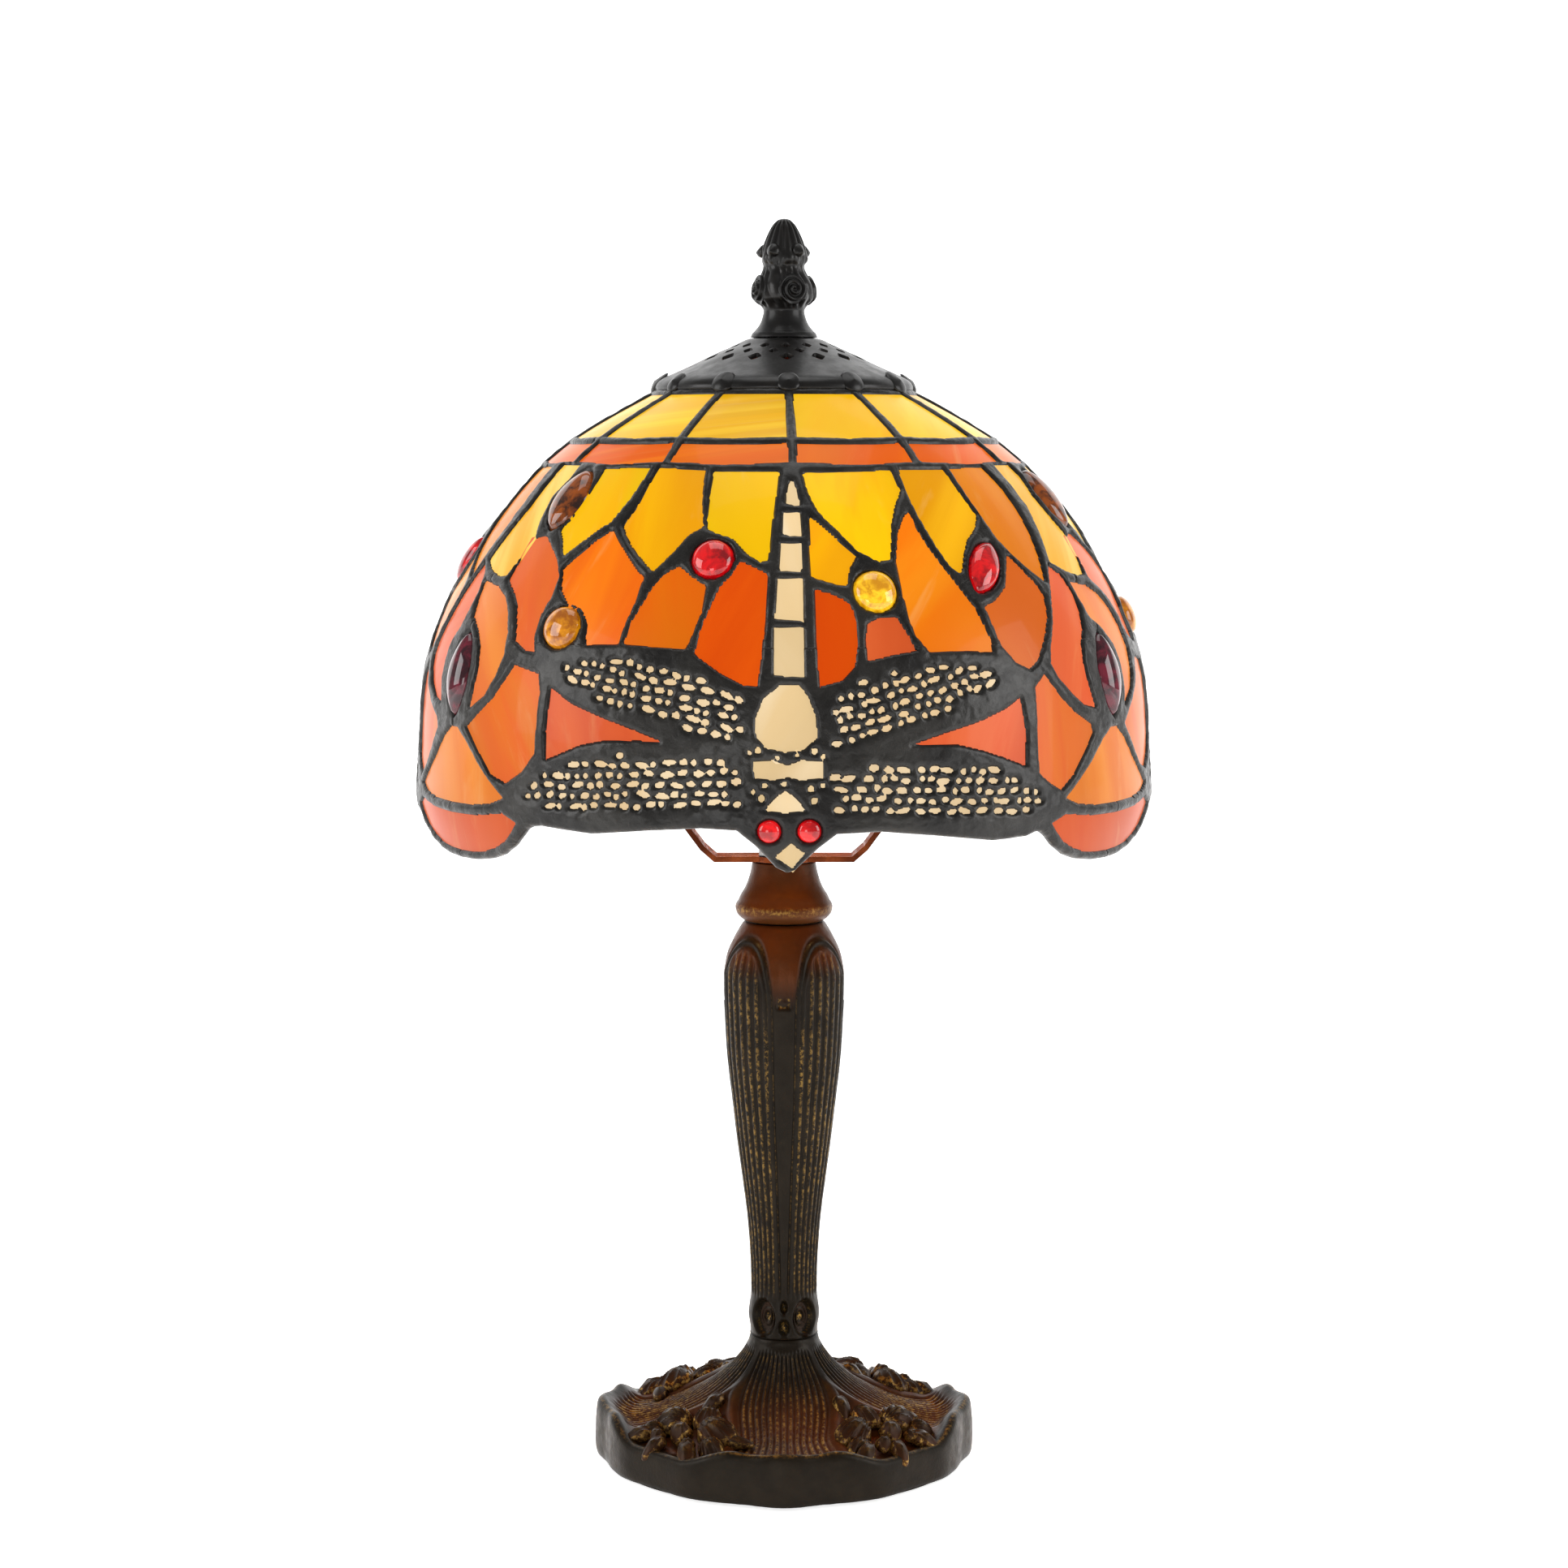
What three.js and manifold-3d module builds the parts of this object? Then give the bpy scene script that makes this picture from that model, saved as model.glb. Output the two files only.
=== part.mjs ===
// A stained-glass table lamp: a cast base, column and neck drawn together by a hollow tie rod, a strip
// harp round the lampholder and bulb, and a leaded dragonfly shade that hangs from a vented cap held
// down by a screwed finial. Millimetres, +Z up, the front towards -Y, the origin on the table under
// the middle of the felt pad. Angles round the shade are degrees from the front, towards +X.
import * as THREE from "three";
import { mergeVertices } from "three/addons/utils/BufferGeometryUtils.js";
import Module from "manifold-3d";

const wasm = await Module();
wasm.setup();

// ---------------------------------------------------------------- driving dimensions
const GAP = 0.3; // clearance between pieces that touch
const FELT = { thickness: 2, proud: 0.7, inset: 4.2 };
const BASE = { radius: 52.6, lobe: 1.1, lobes: 8, rim: 17, rimRound: 3.2, lip: 7, wall: 5.5, dish: 12.2,
  floor: 4.5 };
const TRUNK = { height: 35.6, radius: 10.4, ceiling: 16, boss: 12 };
const WEIGHT = { margin: 10.1, thickness: 3.8, aroundNut: 2 };
const COLUMN = { length: 118.4, foot: 11.5, footRise: 2.4, footTop: 7.8, ring: 10.3, waist: 9.5, belly: 17,
  shoulder: 12, hollow: 9 };
const NECK = { length: 16.6, bead: 13.6, throat: 9.2 };
const ROD = { radius: 4.9, bore: 3.4, clearance: 0.4, belowNut: 1.5, intoHolder: 5 };
const NUT = { wall: 1.7, height: 5.2 };
const HARP = { width: 10, thickness: 1.5, foot: 19.3, belly: 34, shoulder: 4, pad: 3.4, height: 140.5 };
const STUD = { radius: 2.9, flange: 6, flangeHeight: 2, nutFlats: 10, nutHeight: 2.2 };
const SEAT = { radius: 8, thickness: 1.2 };
const HOLDER = { radius: 13.5, wall: 1.6, capLength: 12.8, length: 43, collar: 7.5, core: 9 };
const CONTACT = { leaf: 0.6, width: 3, reach: 5 };
const BULB = { radius: 22.5, neck: 8.5, wall: 1, ball: 26, cap: 6.9, capLength: 18, proud: 2 };
const CAP = { rise: 11.6, sheet: 1, crown: 10, roll: 1.2, rollClear: 1.63, overlap: 3.6 };
const VENTS = { around: 15, rings: [[14.6, 2.6], [18.6, 3], [23.2, 4]] };
const FINIAL = { rim: 9.1, rimEdge: 0.7, stem: 5.9, ball: 8.5, bud: 6.5, height: 32.4, bore: 11 };
const BUSH = { radius: 4.3, length: 9.5 };
const GROMMET = { sleeve: 4, hole: 3.1, flange: 5.2, flangeThickness: 1.4, height: 7 };

const SHADE = {
  radius: 102.6, // widest, over the lead
  aperture: 32.5, // of the opening that the cap covers
  height: 124.4,
  glass: 2.4, // sheet thickness
  lead: 0.8, // how far the lead stands proud of the glass, on each face
  seam: 2.8, // width of a lead line
  facets: 24,
  rows: 5,
};
// The shade's section from the opening to the edge, as shares of its overhang and of its height.
const SECTION = [[0, 0], [0.392, 0.128], [0.649, 0.273], [0.856, 0.457], [0.966, 0.63], [0.994, 0.815],
  [1, 0.92], [0.963, 1]];
const PATTERN = { sectors: 3, columns: 12, underCap: 5, crown: 31, border: 42, edge: 154 };
// The base's flare, as shares of the way out from the trunk to the rim and up from the dish to the top.
const FLARE = [[0.6303, 0.1111], [0.4171, 0.3333], [0.2512, 0.547], [0.109, 0.7436]];
// The column's swell, as shares of the way out from the waist to the belly and of the length.
const SWELL = [[0.107, 0.1014], [0, 0.1605], [0.147, 0.2872], [0.52, 0.4814], [0.88, 0.6757], [1, 0.7939],
  [1.053, 0.8699], [0.827, 0.929]];
// The neck's bell, as shares of the way out from the throat to the bead and of the length.
const BELL = [[0.886, 0.1205], [1, 0.253], [0.682, 0.4578], [0.227, 0.7229], [0, 0.94]];
// One side of the harp, as millimetres in from the belly and shares of the height.
const HARP_SIDE = [[6.8, 0.064], [1.6, 0.2135], [0, 0.3986], [6, 0.6406], [15.5, 0.8541]];
// The cap's cone, as shares of the way out from its crown to its roll, and of the way down.
const CONE = [[0.6553, 0.7353], [0.417, 0.4706], [0.1574, 0.2059]];
// The finial's outline, as millimetres in from one of its widths and shares of the height.
const FINIAL_OUTLINE = [["rim", 1.2, 0.0525], ["stem", -0.4, 0.1327], ["stem", 0, 0.2099],
  ["ball", 1, 0.2901], ["ball", 0, 0.358], ["ball", 0.8, 0.4568], ["stem", 0, 0.5802], ["bud", 0, 0.6852],
  ["bud", 1.4, 0.8025], ["bud", 3.25, 0.9321]];

// ---------------------------------------------------------------- heights, worked out upwards
const baseBottom = FELT.proud + GAP;
const feltRadius = BASE.radius - FELT.inset;
const weightBottom = FELT.thickness + GAP;
const columnBottom = TRUNK.height + GAP;
const columnTop = columnBottom + COLUMN.length;
const neckBottom = columnTop + GAP;
const neckTop = neckBottom + NECK.length;
const harpBottom = neckTop + GAP;
const harpTop = harpBottom + HARP.height;
const harpNutBottom = harpBottom + HARP.thickness + GAP;
const holderBottom = harpNutBottom + NUT.height + GAP;
const shellBottom = holderBottom + HOLDER.capLength;
const coreTop = shellBottom + HOLDER.core;
const holderTop = holderBottom + HOLDER.length;
const bulbCapBottom = holderTop + BULB.proud - BULB.capLength;
const bulbBottom = holderTop + BULB.proud + GAP;
const studNutBottom = harpTop + GAP;
const seatBottom = studNutBottom + STUD.nutHeight + GAP;
const capTop = seatBottom + SEAT.thickness + GAP + CAP.sheet;
const finialBottom = capTop + GAP;
const shadeTop = capTop - CAP.rise - CAP.sheet;
const rodHole = ROD.radius + ROD.clearance;
const studHole = STUD.radius + GAP;
const holderBore = HOLDER.radius - HOLDER.wall;
const nutFlats = 2 * (rodHole + NUT.wall);
const nutCorner = nutFlats / Math.sqrt(3);

// ---------------------------------------------------------------- materials
function finish(color, roughness, metalness, opacity = 1) {
  return new THREE.MeshStandardMaterial({ color, roughness, metalness, opacity, transparent: opacity < 1 });
}
const bronze = () => finish(0x332a22, 0.5, 0.7);
const blackIron = () => finish(0x24221f, 0.45, 0.7);
const copper = () => finish(0x6b3a1c, 0.35, 0.9);
const steel = () => finish(0x9a9a98, 0.4, 1);
const castIron = () => finish(0x3c3b3a, 0.7, 0.8);
const brass = () => finish(0xb08d3c, 0.35, 1);
const felt = () => finish(0x22301f, 0.95, 0);
const bakelite = () => finish(0x141414, 0.4, 0);
const porcelain = () => finish(0xe6e2d8, 0.35, 0);
const opal = () => finish(0xf4efe2, 0.25, 0, 0.7);
const lead = () => finish(0x3b3834, 0.45, 0.75);
const yellowGlass = () => finish(0xffcf10, 0.2, 0, 0.85);
const orangeGlass = () => finish(0xf07800, 0.2, 0, 0.85);
const amberGlass = () => finish(0xf9a600, 0.2, 0, 0.85);
const creamGlass = () => finish(0xfbe7b4, 0.2, 0, 0.85);
const wingGlass = () => finish(0x8a8578, 0.3, 0.3, 0.9);

// ---------------------------------------------------------------- solids
const lamp = new THREE.Group();

function place(name, solid, material) {
  const mesh = new THREE.Mesh(geometryOf(solid), material);
  mesh.name = name;
  lamp.add(mesh);
}

function solidOf(geometry) {
  const bare = geometry.clone();
  bare.deleteAttribute("normal");
  bare.deleteAttribute("uv");
  const merged = mergeVertices(bare, 1e-4);
  const vertProperties = new Float32Array(merged.attributes.position.array);
  const triVerts = new Uint32Array(merged.index.array);
  return new wasm.Manifold(new wasm.Mesh({ numProp: 3, vertProperties, triVerts }));
}

function geometryOf(solid) {
  const mesh = solid.getMesh();
  const geometry = new THREE.BufferGeometry();
  geometry.setAttribute("position", new THREE.BufferAttribute(mesh.vertProperties.slice(), 3));
  geometry.setIndex(new THREE.BufferAttribute(mesh.triVerts.slice(), 1));
  return geometry;
}

// A solid of revolution about Z, from [radius, height] points listed up the outside and down the inside.
function turned(points, segments = 18) {
  const profile = points.map(([r, z]) => new THREE.Vector2(r, z));
  if (points[0][0] > 0 || points.at(-1)[0] > 0) profile.push(profile[0].clone());
  return solidOf(new THREE.LatheGeometry(profile, segments).rotateX(Math.PI / 2));
}

function disc(radius, bottom, top, segments = 18) {
  return turned([[0, bottom], [radius, bottom], [radius, top], [0, top]], segments);
}

function ring(outer, inner, bottom, top, segments = 18) {
  return turned([[outer, bottom], [outer, top], [inner, top], [inner, bottom]], segments);
}

// A smooth run of points through the ones given.
function smooth(points, steps) {
  const curve = new THREE.SplineCurve(points.map(([x, y]) => new THREE.Vector2(x, y)));
  return curve.getPoints(steps).map((p) => [p.x, p.y]);
}

// A closed outline moved inwards. Stretch says how many millimetres one step along x is, at height y.
function offsetLoop(points, inward, stretch = () => 1) {
  const anticlockwise = THREE.ShapeUtils.area(points.map(([x, y]) => new THREE.Vector2(x, y))) > 0;
  return points.map(([x, y], i) => {
    const k = stretch(y);
    const [px, py] = points.at(i - 1);
    const [nx, ny] = points[(i + 1) % points.length];
    const before = new THREE.Vector2((x - px) * k, y - py).normalize();
    const after = new THREE.Vector2((nx - x) * k, ny - y).normalize();
    const side = new THREE.Vector2(-before.y - after.y, before.x + after.x).normalize();
    const miter = Math.max(side.x * -before.y + side.y * before.x, 0.25);
    const move = (anticlockwise ? inward : -inward) / miter;
    return [x + (side.x * move) / k, y + side.y * move];
  });
}

function shapeOf(points) {
  return new THREE.Shape(points.map(([x, y]) => new THREE.Vector2(x, y)));
}

// An outline in X and Z, given a depth along Y about the middle plane.
function plate(shape, depth) {
  const flat = new THREE.ExtrudeGeometry(shape, { depth, bevelEnabled: false });
  return solidOf(flat.translate(0, 0, -depth / 2).rotateX(Math.PI / 2));
}

function hexNut(flats, bore, bottom, height) {
  const body = new THREE.CylinderGeometry(flats / Math.sqrt(3), flats / Math.sqrt(3), height, 6);
  return solidOf(body.rotateX(Math.PI / 2).translate(0, 0, bottom + height / 2)).subtract(
    disc(bore, bottom - 1, bottom + height + 1),
  );
}

// ---------------------------------------------------------------- stand: base, column, neck and rod
function baseCasting() {
  const rim = BASE.radius;
  const round = BASE.rimRound;
  const flare = FLARE.map(([out, up]) => [THREE.MathUtils.lerp(TRUNK.radius, rim, out),
    THREE.MathUtils.lerp(BASE.dish, TRUNK.height, up)]);
  const outside = [[0, baseBottom], [rim, baseBottom], [rim, BASE.rim - round],
    [rim - 0.22 * round, BASE.rim - 0.28 * round],
    ...smooth([[rim - 0.69 * round, BASE.rim], [rim - BASE.lip, BASE.dish], ...flare,
      [TRUNK.boss, TRUNK.height - 4], [TRUNK.radius, TRUNK.height]], 9),
    [0, TRUNK.height]];
  const geometry = geometryOf(turned(outside, 4 * BASE.lobes));
  const position = geometry.attributes.position;
  for (let i = 0; i < position.count; i++) {
    const [x, y] = [position.getX(i), position.getY(i)];
    const radius = Math.hypot(x, y);
    const reach = THREE.MathUtils.smoothstep(radius, rim / 2, rim);
    const swell = 1 + (reach * BASE.lobe * Math.cos(BASE.lobes * Math.atan2(y, x))) / rim;
    position.setXY(i, x * swell, y * swell);
  }
  const inside = rim - BASE.wall;
  const underside = turned([[0, baseBottom - 1], [feltRadius + GAP, baseBottom - 1],
    [feltRadius + GAP, weightBottom], [inside, weightBottom], [inside, BASE.dish - BASE.floor - 0.6],
    [inside - BASE.wall, BASE.dish - BASE.floor], [TRUNK.boss + 2, TRUNK.ceiling - 3],
    [TRUNK.boss, TRUNK.ceiling], [0, TRUNK.ceiling]], 24);
  return solidOf(geometry)
    .subtract(underside)
    .subtract(disc(rodHole, 0, TRUNK.height + 1))
    .subtract(towardsRear(disc(GROMMET.sleeve + GAP, rim - 3 * BASE.wall, rim + BASE.wall, 16)));
}

// A piece made about Z, laid over to point out of the base's rear at the grommet's height.
function towardsRear(solid) {
  return solidOf(geometryOf(solid).rotateX(-Math.PI / 2).translate(0, 0, GROMMET.height));
}

function cordGrommet() {
  const wallFace = BASE.radius + BASE.lobe + GAP;
  const { sleeve, hole, flange, flangeThickness } = GROMMET;
  const inside = wallFace - 1.6 * BASE.wall;
  return towardsRear(turned([[hole, inside], [sleeve, inside], [sleeve, wallFace], [flange, wallFace],
    [flange, wallFace + flangeThickness], [hole, wallFace + flangeThickness]], 16));
}

function columnCasting() {
  const { ring: neck, foot, footRise, footTop, waist, belly, shoulder, hollow, length } = COLUMN;
  const up = (z) => columnBottom + z;
  const swell = SWELL.map(([out, share]) => [THREE.MathUtils.lerp(waist, belly, out), up(share * length)]);
  return turned([
    [rodHole, columnBottom], [neck, columnBottom], [neck, up(footRise)], [foot, up(footTop - 2.2)],
    [foot, up(footTop)], ...smooth(swell, 10), [shoulder, columnTop], [rodHole, columnTop],
    [hollow, columnTop - 0.1 * length], [hollow, up(0.48 * length)], [rodHole, up(0.253 * length)],
  ]);
}

function neckBell() {
  const bell = BELL.map(([out, share]) => [THREE.MathUtils.lerp(NECK.throat, NECK.bead, out),
    neckBottom + share * NECK.length]);
  return turned([[rodHole, neckBottom], [NECK.bead - 2, neckBottom], ...smooth(bell, 7),
    [NECK.throat - 0.6, neckTop], [rodHole, neckTop]]);
}

const rodNutTop = TRUNK.ceiling - GAP;
const weightTop = weightBottom + WEIGHT.thickness;
const weightRadius = BASE.radius - BASE.wall - WEIGHT.margin;

place("base_casting", baseCasting(), bronze());
place("felt_pad", disc(feltRadius, 0, FELT.thickness, 24), felt());
place("base_weight", ring(weightRadius, nutCorner + WEIGHT.aroundNut, weightBottom, weightTop, 24),
  castIron());
place("cord_grommet", cordGrommet(), bakelite());
place("column_casting", columnCasting(), bronze());
place("neck_bell", neckBell(), bronze());
const rodBottom = rodNutTop - NUT.height - ROD.belowNut;
place("tie_rod", ring(ROD.radius, ROD.bore, rodBottom, holderBottom + ROD.intoHolder), steel());
place("rod_nut", hexNut(nutFlats, rodHole, rodNutTop - NUT.height, NUT.height), steel());

// ---------------------------------------------------------------- harp and stud
function harpStrip() {
  const foot = harpBottom + HARP.thickness / 2;
  const head = harpTop - HARP.thickness / 2;
  const bowed = HARP_SIDE.map(([inwards, share]) => [HARP.belly - inwards, foot + share * HARP.height]);
  const side = smooth([[HARP.foot, foot], ...bowed, [STUD.flange + HARP.shoulder, head]], 12);
  const loop = [...side, ...side.map(([x, z]) => [-x, z]).reverse()];
  const outline = shapeOf(offsetLoop(loop, -HARP.thickness / 2));
  outline.holes.push(shapeOf(offsetLoop(loop, HARP.thickness / 2)));
  return plate(outline, HARP.width)
    .add(disc(rodHole + HARP.pad, harpBottom, harpBottom + HARP.thickness))
    .subtract(disc(rodHole, foot - 3, foot + 3))
    .subtract(disc(studHole, head - 3, head + 3));
}

const flangeTop = harpTop - HARP.thickness - GAP;
const studTop = finialBottom + BUSH.length;

function harpStud() {
  const bottom = flangeTop - STUD.flangeHeight;
  return turned([[0, bottom], [STUD.flange, bottom], [STUD.flange, flangeTop], [STUD.radius, flangeTop],
    [STUD.radius, studTop], [0, studTop]], 16);
}

place("harp", harpStrip(), copper());
place("harp_nut", hexNut(nutFlats, rodHole, harpNutBottom, NUT.height), steel());
place("harp_stud", harpStud(), steel());
place("stud_nut", hexNut(STUD.nutFlats, studHole, studNutBottom, STUD.nutHeight), steel());
place("seat_bush", ring(SEAT.radius, studHole, seatBottom, seatBottom + SEAT.thickness), brass());

// ---------------------------------------------------------------- lampholder and bulb
function holderCap() {
  const top = shellBottom - GAP;
  return turned([[rodHole, holderBottom], [HOLDER.collar, holderBottom], [HOLDER.collar, holderBottom + 4],
    [HOLDER.radius, top - 4], [HOLDER.radius, top], [holderBore, top], [holderBore, top - 3.4],
    [rodHole, holderBottom + ROD.intoHolder + 1]]);
}

function centreContact() {
  const low = coreTop + GAP;
  const high = bulbCapBottom - GAP;
  const { leaf, width, reach } = CONTACT;
  const tongue = shapeOf([[-reach, low], [reach - leaf, low], [reach - leaf, low + leaf],
    [3 * leaf - reach, low + leaf], [1.5, high - leaf], [2.6, high - leaf], [2.6, high], [-1, high],
    [-reach, low + leaf]]);
  return plate(tongue, width);
}

function bulbCap() {
  const { cap, capLength } = BULB;
  const up = (z) => bulbCapBottom + z;
  return turned([[0, up(0)], [2.6, up(0)], [2.6, up(0.8)], [4.8, up(1)], [cap, up(3.2)],
    [cap, up(capLength)], [0, up(capLength)]]);
}

function bulbGlass() {
  const middle = bulbBottom + BULB.ball;
  const lowest = THREE.MathUtils.degToRad(-48);
  const skin = (inset, bottom) => {
    const points = [[0, bottom], [BULB.neck - inset, bottom], [BULB.neck - inset, bulbBottom + 5]];
    for (let step = 0; step < 6; step++) {
      const a = THREE.MathUtils.lerp(lowest, Math.PI / 2, step / 6);
      points.push([(BULB.radius - inset) * Math.cos(a), middle + (BULB.radius - inset) * Math.sin(a)]);
    }
    return turned([...points, [0, middle + BULB.radius - inset]]);
  };
  return skin(0, bulbBottom).subtract(skin(BULB.wall, bulbBottom - 1));
}

const screwBore = BULB.cap + 2 * GAP;
place("holder_cap", holderCap(), bakelite());
place("holder_shell", ring(HOLDER.radius, holderBore, shellBottom, holderTop), bakelite());
place("holder_core", ring(holderBore - GAP, 1.6, shellBottom, coreTop), porcelain());
place("screw_shell", ring(screwBore + 0.8, screwBore, coreTop + GAP, holderTop - 2), brass());
place("centre_contact", centreContact(), brass());
place("bulb_cap", bulbCap(), brass());
place("bulb_glass", bulbGlass(), opal());

// ---------------------------------------------------------------- shade
const section = new THREE.SplineCurve(
  SECTION.map(([out, down]) => new THREE.Vector2(
    SHADE.aperture + out * (SHADE.radius - SHADE.aperture),
    shadeTop - down * SHADE.height,
  )),
);
const slope = section.getLength();
const leadDepth = SHADE.glass + 2 * SHADE.lead;

// The point [radius, height] at a share of the slope and a depth under the outer face.
function onSection(share, depth) {
  const u = THREE.MathUtils.clamp(share, 0, 1);
  const [point, along] = [section.getPointAt(u), section.getTangentAt(u)];
  const beyond = (share - u) * slope;
  return [point.x + along.x * beyond + along.y * depth, point.y + along.y * beyond - along.x * depth];
}

// The height of the dome's outer face at a radius near the opening.
function faceHeight(radius) {
  let [low, high] = [0, 0.5];
  while (high - low > 1e-5) {
    const middle = (low + high) / 2;
    if (onSection(middle, 0)[0] < radius) low = middle;
    else high = middle;
  }
  return onSection(low, 0)[1];
}

function domeShell(outerDepth, innerDepth) {
  const shares = Array.from({ length: SHADE.rows + 1 }, (_, i) => i / SHADE.rows);
  const outer = shares.map((share) => onSection(share, outerDepth)).reverse();
  const inner = shares.map((share) => onSection(share, innerDepth));
  return turned([...outer, ...inner], SHADE.facets);
}

// Outlines on the dome are [angle, distance down the slope], drawn on a slope of PATTERN.edge.
function mmPerDegree(distance) {
  return THREE.MathUtils.degToRad(onSection(distance / PATTERN.edge, 0)[0]);
}

// The outline with points added wherever an edge would run past a facet's width.
function followDome(outline) {
  const widest = 360 / SHADE.facets;
  return outline.flatMap(([angle, distance], i) => {
    const [nextAngle, nextDistance] = outline[(i + 1) % outline.length];
    const steps = Math.max(1, Math.ceil(Math.abs(nextAngle - angle) / widest - 1e-6));
    return Array.from({ length: steps }, (_, k) => [
      THREE.MathUtils.lerp(angle, nextAngle, k / steps),
      THREE.MathUtils.lerp(distance, nextDistance, k / steps),
    ]);
  });
}

// A cone from the middle of the dome out through an outline on it.
function coneOver(outline) {
  const heart = shadeTop - 0.9 * SHADE.height;
  const spread = ([angle, distance]) => {
    const a = THREE.MathUtils.degToRad(angle);
    return new THREE.Vector2((distance + 30) * Math.sin(a), -(distance + 30) * Math.cos(a));
  };
  const anticlockwise = THREE.ShapeUtils.area(outline.map(spread)) > 0;
  const rim = anticlockwise ? outline : [...outline].reverse();
  const count = rim.length;
  const positions = [0.5, 2.8].flatMap((reach) =>
    rim.flatMap(([angle, distance]) => {
      const a = THREE.MathUtils.degToRad(angle);
      const [r, z] = onSection(distance / PATTERN.edge, 0);
      return [reach * r * Math.sin(a), -reach * r * Math.cos(a), heart + reach * (z - heart)];
    }),
  );
  const faces = THREE.ShapeUtils.triangulateShape(rim.map(spread), []);
  const index = faces.flatMap(([a, b, c]) => [c, b, a, a + count, b + count, c + count]);
  for (let i = 0; i < count; i++) {
    const j = (i + 1) % count;
    index.push(i, j, j + count, i, j + count, i + count);
  }
  const geometry = new THREE.BufferGeometry();
  geometry.setAttribute("position", new THREE.BufferAttribute(new Float32Array(positions), 3));
  return solidOf(geometry.setIndex(index));
}

const mirrored = (outline, about = 0) => outline.map(([angle, d]) => [2 * about - angle, d]).reverse();
const turnedBy = (outline, angle) => outline.map(([a, distance]) => [a + angle, distance]);

// One half of the dragonfly's body, from the tip of the tail down to the nose.
const bodyHalf = [[2, 46], [3, 70], [3.6, 104], [5.6, 113], [4.8, 123], [6, 139], [7, 143],
  [1.6, PATTERN.edge - 0.5]];
// The right-hand wings, from where the upper one leaves the body, round both tips and back.
const wingPair = [[5.2, 108], [13, 99.8], [22, 97.4], [34, 98], [39.6, 104.6], [30, 114], [18.5, 119.8],
  [31, 124.2], [42, 133], [46, 138], [43.4, 143.4], [34, 145.2], [14, 141.6], [6, 141.6], [4.8, 123]];
// The edge of the ground glass from the tail, along the body and the wings, to the foot of the fan.
const groundHalf = [[0, PATTERN.border], ...bodyHalf.slice(0, 3), ...wingPair.slice(0, 11), [46, 151.6],
  [51, PATTERN.edge + 0.4]];
// The bay under a pair of wings, between the fan and the dragonfly's nose.
const bay = [[51, PATTERN.edge + 0.4], [46, 151.6], [43.4, 145.2], [34, 147], [14, 143.4], [7.6, 143.6],
  [2, PATTERN.edge + 0.2], [2, PATTERN.edge + 6], [51, PATTERN.edge + 6]];

const sectorAngle = 360 / PATTERN.sectors;
const columnAngle = 360 / PATTERN.columns;
const rowOutline = (from, to) => [[0, to], [columnAngle, to], [columnAngle, from], [0, from]];
const bodyOutline = [...bodyHalf, ...mirrored(bodyHalf)];
const groundOutline = [...groundHalf, ...mirrored(groundHalf, sectorAngle / 2).slice(1)];

const panes = [];
for (let column = 0; column < PATTERN.columns; column++) {
  const angle = column * columnAngle;
  const crown = turnedBy(rowOutline(PATTERN.underCap, PATTERN.crown), angle);
  const border = turnedBy(rowOutline(PATTERN.crown, PATTERN.border), angle);
  panes.push([`crown_pane_${column + 1}`, crown, yellowGlass()]);
  panes.push([`border_pane_${column + 1}`, border, orangeGlass()]);
}
for (let sector = 0; sector < PATTERN.sectors; sector++) {
  const angle = sector * sectorAngle;
  panes.push([`dragonfly_body_${sector + 1}`, turnedBy(bodyOutline, angle), creamGlass()]);
  panes.push([`right_wings_${sector + 1}`, turnedBy(wingPair, angle), wingGlass()]);
  panes.push([`left_wings_${sector + 1}`, turnedBy(mirrored(wingPair), angle), wingGlass()]);
  panes.push([`ground_glass_${sector + 1}`, turnedBy(groundOutline, angle), amberGlass()]);
}

const glassShell = domeShell(SHADE.lead, SHADE.lead + SHADE.glass);
let leadwork = domeShell(0, leadDepth);
for (const [name, outline, material] of panes) {
  const edge = followDome(outline);
  const window = offsetLoop(edge, SHADE.seam / 2, mmPerDegree);
  const pane = offsetLoop(edge, SHADE.seam / 2 + GAP, mmPerDegree);
  leadwork = leadwork.subtract(coneOver(window));
  place(name, glassShell.intersect(coneOver(pane)), material);
}
for (let sector = 0; sector < PATTERN.sectors; sector++) {
  const angle = sector * sectorAngle;
  leadwork = leadwork
    .subtract(coneOver(followDome(turnedBy(bay, angle))))
    .subtract(coneOver(followDome(turnedBy(mirrored(bay), angle))));
}
place("shade_lead", leadwork, lead());

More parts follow.
